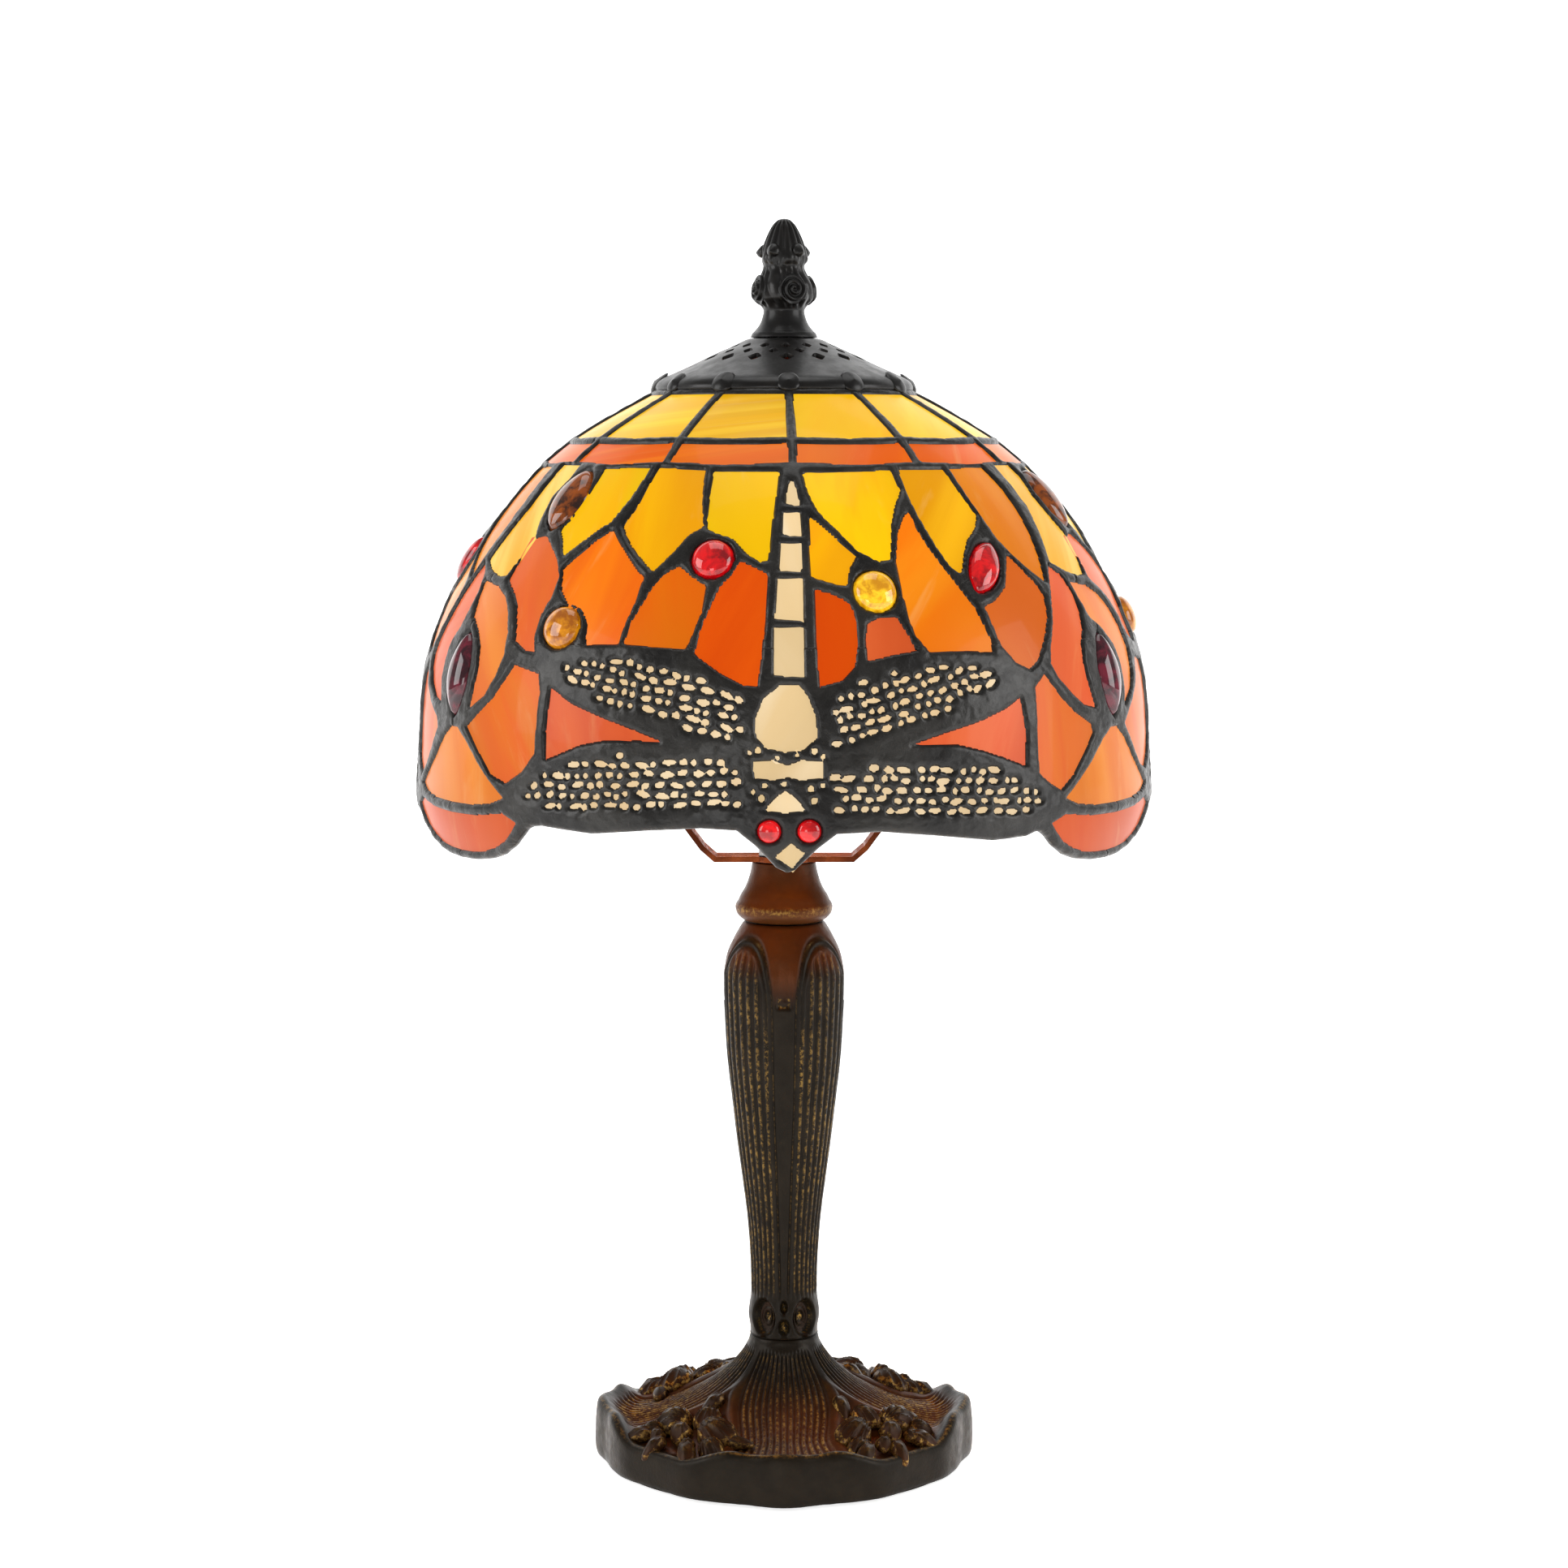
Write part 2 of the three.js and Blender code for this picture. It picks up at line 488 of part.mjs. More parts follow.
// ---------------------------------------------------------------- vented cap and finial
function heatCap() {
  const rollRadius = SHADE.aperture + CAP.overlap - CAP.roll;
  const rollHeight = faceHeight(rollRadius) + CAP.rollClear;
  const [skirtRadius, skirtTop] = [rollRadius - 1.4, rollHeight + CAP.roll + 0.9];
  const cone = CONE.map(([out, down]) => [THREE.MathUtils.lerp(CAP.crown, skirtRadius, out),
    THREE.MathUtils.lerp(capTop, skirtTop, down)]);
  const outer = [[rollRadius, rollHeight + CAP.roll - 0.2], [skirtRadius, skirtTop], ...cone,
    [CAP.crown, capTop]];
  const inner = offsetLoop([...outer, [0, capTop], [0, rollHeight]], CAP.sheet).slice(0, outer.length);
  const roll = [[rollRadius - 1, rollHeight - 0.4], [rollRadius + 0.2, rollHeight - CAP.roll],
    [rollRadius + CAP.roll, rollHeight], [rollRadius + 0.8, rollHeight + 0.9]];
  let cap = turned([...roll, ...outer, [studHole, capTop], [studHole, capTop - CAP.sheet],
    ...inner.reverse()], VENTS.around);
  VENTS.rings.forEach(([radius, width], row) => {
    for (let i = 0; i < VENTS.around; i++) {
      const angle = ((i + (row % 2) / 2) * 2 * Math.PI) / VENTS.around;
      const hole = new THREE.CylinderGeometry(width / 2, width / 2, CAP.rise + 6, 4).rotateX(Math.PI / 2);
      cap = cap.subtract(solidOf(hole.translate(0, -radius, capTop - CAP.rise / 2).rotateZ(angle)));
    }
  });
  return cap;
}

function finialTurning() {
  const { rim, rimEdge, height, bore } = FINIAL;
  const outline = FINIAL_OUTLINE.map(([width, inwards, share]) => [FINIAL[width] - inwards,
    finialBottom + share * height]);
  const body = turned([[0, finialBottom], [rim, finialBottom], [rim, finialBottom + rimEdge],
    ...smooth(outline, 11), [0, finialBottom + height]], 16);
  return body.subtract(disc(BUSH.radius + GAP, finialBottom - 1, finialBottom + bore, 16));
}

place("heat_cap", heatCap(), blackIron());
place("finial", finialTurning(), blackIron());
place("finial_bush", ring(BUSH.radius, studHole, finialBottom, finialBottom + BUSH.length, 16), brass());

export default lamp;
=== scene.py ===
"""A stained-glass table lamp: glass, solder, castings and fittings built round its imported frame."""
import math

import bmesh
import bpy
import numpy as np
from mathutils import Matrix, Vector


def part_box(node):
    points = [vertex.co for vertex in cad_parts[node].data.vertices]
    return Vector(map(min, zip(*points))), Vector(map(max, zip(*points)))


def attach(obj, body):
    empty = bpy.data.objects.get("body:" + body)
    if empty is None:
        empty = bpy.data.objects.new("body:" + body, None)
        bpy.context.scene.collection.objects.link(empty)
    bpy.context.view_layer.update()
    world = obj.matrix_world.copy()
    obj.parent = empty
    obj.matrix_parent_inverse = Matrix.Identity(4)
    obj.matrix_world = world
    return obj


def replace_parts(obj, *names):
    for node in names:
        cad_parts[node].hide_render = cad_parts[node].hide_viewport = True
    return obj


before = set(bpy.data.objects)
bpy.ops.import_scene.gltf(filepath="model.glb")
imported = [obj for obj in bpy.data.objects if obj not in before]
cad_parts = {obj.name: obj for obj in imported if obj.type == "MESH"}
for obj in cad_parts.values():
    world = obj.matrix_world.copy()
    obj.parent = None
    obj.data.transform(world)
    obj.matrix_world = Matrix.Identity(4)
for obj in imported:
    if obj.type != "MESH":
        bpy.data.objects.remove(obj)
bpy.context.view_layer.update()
MM = 0.001


# ---------------------------------------------------------------- camera, light and floor
def aim(thing, target):
    thing.rotation_euler = (Vector(target) - thing.location).to_track_quat("-Z", "Y").to_euler()


def set_camera():
    data = bpy.data.cameras.new("camera")
    data.sensor_width = 36
    data.lens = 77.6
    camera = bpy.data.objects.new("camera", data)
    camera.location = (0, -0.945, 0.289)
    camera.rotation_euler = (math.radians(90 - 5.8), 0, 0)
    bpy.context.scene.collection.objects.link(camera)
    bpy.context.scene.camera = camera


def area_light(name, place, target, power, size):
    data = bpy.data.lights.new(name, "AREA")
    data.energy, data.size = power, size
    light = bpy.data.objects.new(name, data)
    light.location = place
    aim(light, target)
    bpy.context.scene.collection.objects.link(light)


def set_studio():
    world = bpy.data.worlds.new("studio")
    bpy.context.scene.world = world
    world.use_nodes = True
    nodes, links = world.node_tree.nodes, world.node_tree.links
    nodes["Background"].inputs["Color"].default_value = (1, 1, 1, 1)
    seen = nodes.new("ShaderNodeMapRange")  # plain white where it is looked at, dim where it lights
    seen.inputs["To Min"].default_value, seen.inputs["To Max"].default_value = 0.3, 1.0
    links.new(nodes.new("ShaderNodeLightPath").outputs["Is Camera Ray"], seen.inputs["Value"])
    links.new(seen.outputs["Result"], nodes["Background"].inputs["Strength"])
    area_light("softbox_left", (-1.1, -0.35, 0.55), (0, 0, 0.2), 6, 0.7)
    area_light("softbox_right", (1.1, -0.35, 0.5), (0, 0, 0.2), 6, 0.7)
    area_light("softbox_top", (0, 0.1, 1.3), (0, 0, 0.2), 2.6, 0.7)
    area_light("softbox_front", (-0.35, -1.3, 0.12), (0, 0, 0.1), 1.3, 0.35)
    bpy.context.scene.view_settings.view_transform = "Standard"


def lay_floor():
    """A white sweep: the floor and the wall behind it, both bright enough to leave no horizon."""
    mesh = bpy.data.meshes.new("sweep")
    corners = [(-4, -1.5, 0), (4, -1.5, 0), (4, 2, 0), (-4, 2, 0), (4, 2, 3), (-4, 2, 3)]
    mesh.from_pydata(corners, [], [(0, 1, 2, 3), (3, 2, 4, 5)])
    floor = bpy.data.objects.new("sweep", mesh)
    bpy.context.scene.collection.objects.link(floor)
    paper = bpy.data.materials.new("white_paper")
    paper.use_nodes = True
    shader = paper.node_tree.nodes["Principled BSDF"]
    shader.inputs["Base Color"].default_value = (0.9, 0.9, 0.9, 1)
    shader.inputs["Roughness"].default_value = 0.8
    shader.inputs["Emission Color"].default_value = (1, 1, 1, 1)
    shader.inputs["Emission Strength"].default_value = 0.8
    mesh.materials.append(paper)


set_camera()
set_studio()
lay_floor()


# ---------------------------------------------------------------- material kit
class Sums:
    """Sums in words for a kit that has a math node call."""

    def times(self, a, b, clamp=False):
        return self.math("MULTIPLY", a, b, clamp)

    def plus(self, a, b):
        return self.math("ADD", a, b)

    def minus(self, a, b):
        return self.math("SUBTRACT", a, b)


class Finish(Sums):
    """A procedural material: a principled shader and short calls that wire nodes into it."""

    def __init__(self, name, roughness=0.5, metallic=0.0, coat=0.0, coat_roughness=0.1):
        self.material = bpy.data.materials.new(name)
        self.material.use_nodes = True
        self.tree = self.material.node_tree
        self.shader = self.tree.nodes["Principled BSDF"]
        self.shader.inputs["Roughness"].default_value = roughness
        self.shader.inputs["Metallic"].default_value = metallic
        self.shader.inputs["Coat Weight"].default_value = coat
        self.shader.inputs["Coat Roughness"].default_value = coat_roughness
        self.place = self.node("TexCoord").outputs["Object"]

    def node(self, kind, **settings):
        made = self.tree.nodes.new(f"ShaderNode{kind}")
        for key, value in settings.items():
            setattr(made, key, value)
        return made

    def held(self, name, output="Fac"):
        """What the mesh holds under a name."""
        return self.node("Attribute", attribute_name=name).outputs[output]

    def feed(self, socket, value):
        if isinstance(value, bpy.types.NodeSocket):
            self.tree.links.new(value, socket)
        else:
            socket.default_value = value

    def math(self, operation, a, b=0.0, clamp=False):
        made = self.node("Math", operation=operation, use_clamp=clamp)
        self.feed(made.inputs[0], a)
        self.feed(made.inputs[1], b)
        return made.outputs[0]

    def stretch(self, scale):
        made = self.node("Mapping")
        self.feed(made.inputs["Vector"], self.place)
        self.feed(made.inputs["Scale"], scale)
        return made.outputs[0]

    def noise(self, scale, detail=3.0, rough=0.5, distortion=0.0, place=None):
        made = self.node("TexNoise")
        self.feed(made.inputs["Vector"], self.place if place is None else place)
        self.feed(made.inputs["Scale"], scale)
        self.feed(made.inputs["Detail"], detail)
        self.feed(made.inputs["Roughness"], rough)
        self.feed(made.inputs["Distortion"], distortion)
        return made.outputs[0]

    def ramp(self, value, low, high, to_low=0.0, to_high=1.0):
        made = self.node("MapRange", interpolation_type="SMOOTHSTEP")
        self.feed(made.inputs["Value"], value)
        for key, number in (("From Min", low), ("From Max", high), ("To Min", to_low), ("To Max", to_high)):
            self.feed(made.inputs[key], number)
        return made.outputs[0]

    def mix(self, share, a, b, blend="MIX"):
        made = self.node("Mix", data_type="RGBA", blend_type=blend)
        self.feed(made.inputs["Factor"], share)
        for socket, value in ((made.inputs[6], a), (made.inputs[7], b)):
            self.feed(socket, (*value, 1) if isinstance(value, tuple) and len(value) == 3 else value)
        return made.outputs[2]

    def bump(self, height, strength, distance):
        made = self.node("Bump")
        self.feed(made.inputs["Height"], height)
        made.inputs["Strength"].default_value = strength
        made.inputs["Distance"].default_value = distance
        self.feed(self.shader.inputs["Normal"], made.outputs[0])

    def put(self, name, value):
        self.feed(self.shader.inputs[name], value)


def linear(code):
    """A hex colour as linear red, green and blue."""
    parts = [int(code[i:i + 2], 16) / 255 for i in (0, 2, 4)]
    return tuple(c / 12.92 if c <= 0.04045 else ((c + 0.055) / 1.055) ** 2.4 for c in parts)


# ---------------------------------------------------------------- finishes
def art_glass():
    """Opalescent sheet with the light from behind painted on as a glow: each pane's own two tones run
    together in long streaks.
    """
    f = Finish("opalescent_glass", roughness=0.3, coat=0.16, coat_roughness=0.05)
    f.shader.inputs["Specular IOR Level"].default_value = 0.1
    f.shader.inputs["Coat IOR"].default_value = 1.35
    tone = f.held("tone", "Color")
    streak_tone = f.held("streak_tone", "Color")
    grain = f.held("grain", "Vector")
    streak = f.noise(55, 4, 0.55, 0.6, place=grain)
    cloud = f.noise(26, 2, 0.5, 0.3, place=grain)
    share = f.times(f.ramp(streak, 0.36, 0.66), f.ramp(cloud, 0.3, 0.62))
    colour = f.mix(share, tone, streak_tone)
    wisp = f.ramp(f.noise(90, 5, 0.6, 0.8, place=grain), 0.58, 0.72, 0, 0.14)
    colour = f.mix(wisp, colour, (1.0, 0.72, 0.3))
    f.put("Base Color", f.mix(0.8, colour, (0.0, 0.0, 0.0)))
    place = f.node("SeparateXYZ")
    f.feed(place.inputs[0], f.place)
    # Painted glow: the glass emits its own colour in place of the bulb's light shining through it, brightest
    # level with the top of the bulb.
    off_bulb = f.math("ABSOLUTE", f.minus(place.outputs[2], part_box("bulb_glass")[1].z))
    painted_bulb_glow = f.ramp(off_bulb, 0.0, 0.12, 1.0, 0.8)
    f.put("Emission Color", colour)
    f.put("Emission Strength", f.times(painted_bulb_glow, f.ramp(cloud, 0.2, 0.8, 0.68, 0.92)))
    f.bump(f.noise(14, 2, 0.5, 0.2), 0.25, 0.004)
    return f.material


def solder():
    """Dark patinated solder: wrinkled beads, a little brighter on their backs."""
    f = Finish("dark_solder", roughness=0.42, metallic=0.2, coat=0.3, coat_roughness=0.2)
    f.shader.inputs["Specular IOR Level"].default_value = 0.25
    wrinkle = f.noise(420, 4, 0.6, 0.8)
    blotch = f.noise(60, 3, 0.5)
    f.put("Base Color", f.mix(f.ramp(blotch, 0.35, 0.7), linear("151311"), linear("2C2A27")))
    f.put("Roughness", f.ramp(wrinkle, 0.3, 0.7, 0.3, 0.6))
    f.bump(wrinkle, 0.5, 0.0006)
    return f.material


def jewel(name, rim, heart, glow):
    """Pressed clear glass in two tones run together, with the light from behind painted on as a glow."""
    f = Finish(name, roughness=0.06, coat=0.7, coat_roughness=0.02)
    bubble = f.noise(240, 3, 0.6, 0.4)
    colour = f.mix(f.ramp(bubble, 0.35, 0.65), rim, heart)
    f.put("Base Color", f.mix(0.5, colour, (0.0, 0.0, 0.0)))
    # Painted glow: the jewel emits its own colour in place of the bulb's light shining through it.
    f.put("Emission Color", colour)
    f.put("Emission Strength", glow)
    f.shader.inputs["Specular IOR Level"].default_value = 0.35
    return f.material


# ---------------------------------------------------------------- mesh kit
def new_piece(name, points, faces, material, body):
    mesh = bpy.data.meshes.new(name)
    mesh.from_pydata([tuple(p) for p in points], [], [tuple(f) for f in faces])
    mesh.update()
    mesh.materials.append(material)
    return piece_from(mesh, name, body)


def piece_from(mesh, name, body):
    """A finished mesh as a piece that rides on a body."""
    piece = bpy.data.objects.new(name, mesh)
    bpy.context.scene.collection.objects.link(piece)
    mesh.shade_smooth()
    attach(piece, body)
    return piece


def catmull(points, steps):
    """A smooth run through the points, evenly stepped between each pair."""
    p = np.array(points, float)
    p = np.vstack([p[0], p, p[-1]])
    t = np.linspace(0, 1, steps, endpoint=False)[:, None]
    runs = []
    for a, b, c, d in zip(p[:-3], p[1:-2], p[2:-1], p[3:]):
        v0, v1 = (c - a) * 0.5, (d - b) * 0.5
        runs.append((2 * b - 2 * c + v0 + v1) * t**3 + (-3 * b + 3 * c - 2 * v0 - v1) * t**2 + v0 * t + b)
    return np.vstack([*runs, p[-1:]])


# ---------------------------------------------------------------- the dome
GLASS = 2.4 * MM
LEAD = 0.8 * MM
UNDER_CAP = 4.0  # millimetres of the slope above the cap's rim
SHADE_RADIUS = 102.6 * MM
APERTURE = 32.5 * MM
SECTION = [(0, 0), (0.392, 0.128), (0.649, 0.273), (0.856, 0.457), (0.966, 0.63), (0.994, 0.815), (1, 0.92),
    (0.963, 1)]
lead_low, lead_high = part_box("shade_lead")
outer_face = catmull([(APERTURE + out * (SHADE_RADIUS - APERTURE),
                       lead_high.z - down * (lead_high.z - lead_low.z)) for out, down in SECTION], 40)
steps = np.linalg.norm(np.diff(outer_face, axis=0), axis=1)
run = np.concatenate([[0], np.cumsum(steps)])
slope_dir = np.gradient(outer_face, run, axis=0)
slope_dir /= np.linalg.norm(slope_dir, axis=1)[:, None]


def on_dome(angle, down, lift=0.0):
    """The place at an angle in degrees and a distance down the slope in mm, lifted off mid-glass in m."""
    angle, down, lift = np.broadcast_arrays(np.radians(angle), np.array(down, float) + UNDER_CAP, lift)
    s = down * MM
    inside = np.clip(s, 0, run[-1])
    r, z, dr, dz = (np.interp(inside, run, column) for column in (*outer_face.T, *slope_dir.T))
    r, z = r + dr * (s - inside), z + dz * (s - inside)
    depth = LEAD + GLASS / 2 - lift
    r, z = r + dz * depth, z - dr * depth
    return np.stack([r * np.sin(angle), -r * np.cos(angle), z], -1)


def mm_per_degree(down):
    s = np.clip((np.array(down, float) + UNDER_CAP) * MM, 0, run[-1])
    return np.radians(np.interp(s, run, outer_face[:, 0])) / MM


SECTORS = (0, 120, 240)


# ---------------------------------------------------------------- glass pattern
# Each outline is [angle, distance down the slope] on the first third of the shade, in degrees and mm,
# with its two tones. The pattern repeats three times.
GROUND = {
    "honey_edge": ("F7B21E", "FFD45A", [(-63, 37), (-54.5, 37), (-54, 42), (-55.8, 48), (-54.5, 56),
        (-53, 61), (-54, 68), (-55.5, 73.5), (-58, 74), (-62, 72.5), (-66, 69.5), (-64, 60), (-62.5, 52)]),
    "lemon_left": ("FFC800", "FFB400", [(-44.5, 38), (-31.3, 37.7), (-31.8, 44), (-32.5, 49), (-34.5, 56),
        (-38.5, 61.5), (-42.3, 67.3), (-44.5, 62), (-46.3, 59), (-45, 56), (-44.2, 50), (-43.9, 44)]),
    "gold_left": ("FBA900", "FFBE00", [(-29, 37.5), (-17.5, 38.5), (-17, 44), (-16.2, 50), (-15, 57.5),
        (-17.5, 60), (-19.5, 65), (-22.5, 71), (-24.5, 68.5), (-28, 63.5), (-31.3, 57.5), (-30, 52),
        (-29.6, 46)]),
    "lemon_centre": ("FFC600", "FFD800", [(-15.5, 38.8), (-1, 38.8), (-1.5, 46), (-2.2, 56), (-2.7, 67.5),
        (-4, 68), (-6.5, 65.5), (-9, 61), (-12, 59.5), (-14.2, 58), (-14.8, 50)]),
    "orange_left": ("F57C08", "F2690A", [(-33.3, 59), (-30, 64), (-26.5, 69.5), (-24, 73), (-24.5, 80),
        (-25.5, 86), (-26, 91.5), (-31.7, 92), (-32.3, 86), (-34, 82.3), (-37.5, 80.5), (-39.5, 77),
        (-41, 71), (-38.5, 66.5), (-35.5, 61.5)]),
    "salmon_left": ("F0702A", "E8612C", [(-53.5, 62.5), (-49.8, 61), (-47, 64), (-43.5, 68.3),
        (-41.2, 73.5), (-41.3, 79), (-42.2, 84), (-42.5, 90), (-41.5, 94.5), (-43.5, 94.3), (-46.3, 92),
        (-47.3, 87), (-48.8, 82), (-51, 78.5), (-54.3, 75), (-53.8, 70)]),
    "orange_spear": ("F47A06", "EE5F05", [(-18, 69.5), (-15.5, 72.5), (-12.8, 75), (-13, 82), (-14, 88),
        (-15, 92.5), (-25, 91.5), (-24.5, 86), (-23, 80), (-22, 76), (-20.5, 72)]),
    "ember_left": ("EE5A02", "E24A00", [(-7.5, 67.8), (-4.5, 70), (-2.6, 71.8), (-2.9, 85), (-3.4, 95),
        (-3.9, 102), (-6, 101.5), (-9, 99), (-12, 95.5), (-13.5, 93.5), (-12.8, 87), (-11.5, 80),
        (-10.5, 75.5), (-8.8, 72)]),
    "lemon_right": ("FBB400", "FFC800", [(4, 39.5), (24.3, 38.5), (24.4, 46), (22, 51), (20.2, 57),
        (18.5, 67.5), (16.5, 68), (13, 65), (10, 59), (6.5, 52.5), (4.8, 46)]),
    "gold_sliver": ("F9A504", "FFB400", [(4.7, 54), (7.5, 58), (10, 62.5), (12.5, 66.5), (11, 70),
        (10.3, 75), (8.5, 74.5), (4.5, 72.3)]),
    "orange_tall": ("F57A04", "F78C10", [(24.8, 52.5), (25, 58), (26.3, 64), (28, 70), (30, 76), (32, 82),
        (33.5, 91), (33.3, 94), (28, 93.3), (22.5, 93.5), (20.5, 89), (19.8, 84), (19.5, 76), (19.5, 68),
        (21, 60), (23, 55)]),
    "gold_right": ("F8A600", "FFBC10", [(26.2, 38.3), (38.2, 38.3), (38.8, 46), (40, 54.5), (38, 58.5),
        (35, 62), (33, 66.5), (31.2, 72), (29.5, 70), (28, 64), (26.3, 54), (25.8, 46)]),
    "orange_edge": ("F6860C", "F79A14", [(40, 38), (51.5, 37.7), (52.8, 44), (53.2, 52), (52.6, 60),
        (51.5, 67), (49.8, 75.5), (47.3, 72), (44.5, 67.5), (42.3, 62), (41.3, 56), (40.2, 48)]),
    "ember_right": ("EC5400", "E04600", [(5, 76), (8, 77.5), (10.5, 80), (11.3, 85), (11.2, 91), (10.5, 97),
        (8.5, 100.5), (5.2, 102), (4.9, 90)]),
    "coral_chip": ("E8602A", "EE6E38", [(13, 85.5), (15, 84), (17.8, 83.8), (19, 88), (20.3, 93),
        (16.5, 94), (12.6, 95.5), (12.5, 90)]),
    "flame_right": ("F0701C", "F89A30", [(43, 66.8), (45, 71), (47.3, 76), (48, 79), (47, 85), (44.5, 91.5),
        (42, 97), (40, 99), (37.5, 97), (35.3, 92.5), (34.2, 84), (34, 81.5), (36.5, 80), (39.5, 76.5),
        (41.3, 71.5)]),
    "petal_right": ("EE7440", "E66032", [(53, 70.5), (55.5, 73.5), (56.8, 79), (56.5, 84), (55.5, 89),
        (53.8, 93), (53, 98.5), (53.3, 104), (54.5, 110.5), (51.5, 109.5), (48.5, 106), (45.8, 101.5),
        (44.8, 98), (45.5, 94), (47.5, 88), (49.5, 81), (51.3, 75)]),
    "petal_left": ("F07A38", "F6923C", [(-62.5, 75.5), (-57, 77), (-53, 80), (-50.5, 84.5), (-49, 90),
        (-48.3, 96), (-49.5, 102), (-51.5, 107), (-55.5, 111), (-54.8, 105.5), (-54.5, 100), (-55.5, 94),
        (-57.8, 89.5), (-61, 86), (-62.2, 80)]),
    "fan": ("F28028", "F79438", [(-61.3, 116.5), (-58.7, 116.5), (-56, 119.5), (-52.5, 125), (-49.5, 129),
        (-45.8, 133.3), (-49, 135.2), (-54, 136.2), (-60, 136.4), (-66, 136.2), (-71, 135.2), (-74, 133.3),
        (-70.5, 129), (-67.5, 125), (-64, 119.5)]),
    "scallop": ("EA6428", "DE541C", [(-43, 139.6), (-44.2, 142), (-46, 144.8), (-48.4, 147), (-52, 148.9),
        (-56, 149.8), (-60, 150), (-64, 149.8), (-68, 148.9), (-71.6, 147), (-74, 144.8), (-75.8, 142),
        (-77, 139.6), (-74, 137.6), (-68, 138.8), (-60, 139.2), (-52, 138.8), (-46, 137.4)]),
    "wing_field_left": ("F27A20", "EC6424", [(-45.3, 98.3), (-39.8, 100.3), (-39, 105), (-39.3, 115),
        (-39.5, 121), (-42, 126), (-45.3, 129.3), (-49, 127.5), (-52, 122.5), (-56, 115.8), (-52.5, 111.5),
        (-49.3, 107.5), (-47, 102.5)]),
    "wing_gap_left": ("E25A2E", "EA6A34", [(-36.8, 103.8), (-33, 107.5), (-28, 110.5), (-22, 113.8),
        (-18, 116.3), (-22, 116.2), (-27, 116.6), (-31, 118), (-35, 120.8), (-37.2, 122.3), (-37.3, 115)]),
    "wing_field_right": ("F0782C", "EA602A", [(43, 100.5), (44, 103), (46, 107), (49, 111.3), (53, 114.8),
        (53.5, 117), (50.5, 123), (48, 127.5), (45, 131), (42.3, 128.5), (40.5, 126), (40.3, 115),
        (40.5, 104)]),
    "wing_gap_right": ("E45E30", "EC7040", [(37.3, 106.3), (34.5, 109), (30, 111.8), (24, 114.5),
        (18.5, 117.3), (21, 117.3), (26, 117.5), (30, 119.3), (34, 121.5), (37.8, 124), (38, 115)]),
}
CREAM = [
    [(1.2, 42.2), (2, 42.2), (2.8, 47), (3, 50.5), (0.4, 50.2), (0.6, 46)],
    [(-0.1, 53), (3, 52.6), (3.2, 60.3), (-0.3, 59.8)],
    [(-0.5, 62.6), (2.9, 62.4), (2.9, 71), (-0.8, 70.3)],
    [(-1, 73), (2.9, 72.6), (3, 84.8), (-1.4, 84)],
    [(-1.5, 86.6), (3, 86.2), (3, 99.6), (-1.5, 99)],
    [(-0.5, 101.5), (2.2, 101.5), (3.6, 105), (4.6, 110), (4.7, 115), (2.8, 118), (0.2, 118.6), (-2.6, 117.5),
     (-4, 114.5), (-4.1, 110), (-3, 105)],
    [(-4.4, 121), (-1.5, 120.6), (0.5, 122), (2.5, 120.6), (5.6, 121), (5.6, 125), (2.5, 125.6), (0.6, 124.8),
     (-1.5, 125.6), (-4.2, 125)],
    [(-2.7, 133.2), (-1.5, 130.5), (0.2, 128.2), (1.8, 130.3), (3, 133.2), (0.2, 133.8)],
    [(0.9, 141.8), (3, 144.6), (1.2, 148.6), (-1.3, 145.6)],
]
BODY_DOTS = [(-3.7, 118.2, 0.8), (-0.9, 120, 0.6), (4.4, 118.3, 0.8), (1.9, 119.3, 0.5), (-2.7, 126.9, 0.7),
    (0, 126.6, 0.7), (3.8, 127.8, 0.8), (5.5, 127, 0.6), (-3.2, 130.2, 0.9), (4.3, 130.8, 0.9),
    (-4.9, 118.8, 0.6), (5.6, 119.8, 0.6), (-4.4, 128.6, 0.6)]
# Jewels: angle, distance, half width and half height in mm, turn in degrees, how pointed, kind.
JEWELS = {
    "brown_oval": (-49, 49.2, 6.0, 10.4, 0, 0.35, "brown"),
    "red_left": (-12.3, 67.2, 5.6, 5.7, 0, 0, "red"),
    "amber_left": (-37.1, 87.5, 5.9, 5.9, 0, 0, "amber"),
    "amber_right": (14.9, 76.6, 5.8, 5.9, 0, 0, "bright_amber"),
    "red_tilted": (36.6, 70.2, 4.6, 8.9, 34, 0.35, "red"),
    "plum": (-60, 102, 5.4, 11.6, 0, 0.5, "plum"),
    "eye_left": (-2.1, 138.7, 3.1, 3.1, 0, 0, "eye"),
    "eye_right": (3.6, 138.6, 3.1, 3.1, 0, 0, "eye"),
}
COLUMN_ANGLE, COLUMN_START = 30, 2
CROWN = [(1.8, 1.4), (28.2, 1.4), (28.8, 24.8), (15, 25.6), (1.3, 24.8)]
BORDER = [(1.2, 27.6), (8, 28), (22, 28), (28.8, 27.4), (29, 35.4), (15, 36.4), (1.1, 35.4)]
CROWN_TONES = [("FFC905", "FFB900"), ("FFC000", "FFD21A"), ("FDBC00", "FFD030")]
BORDER_TONES = [("F27300", "E65F00"), ("EE6200", "F58010"), ("EE6A04", "F28414")]
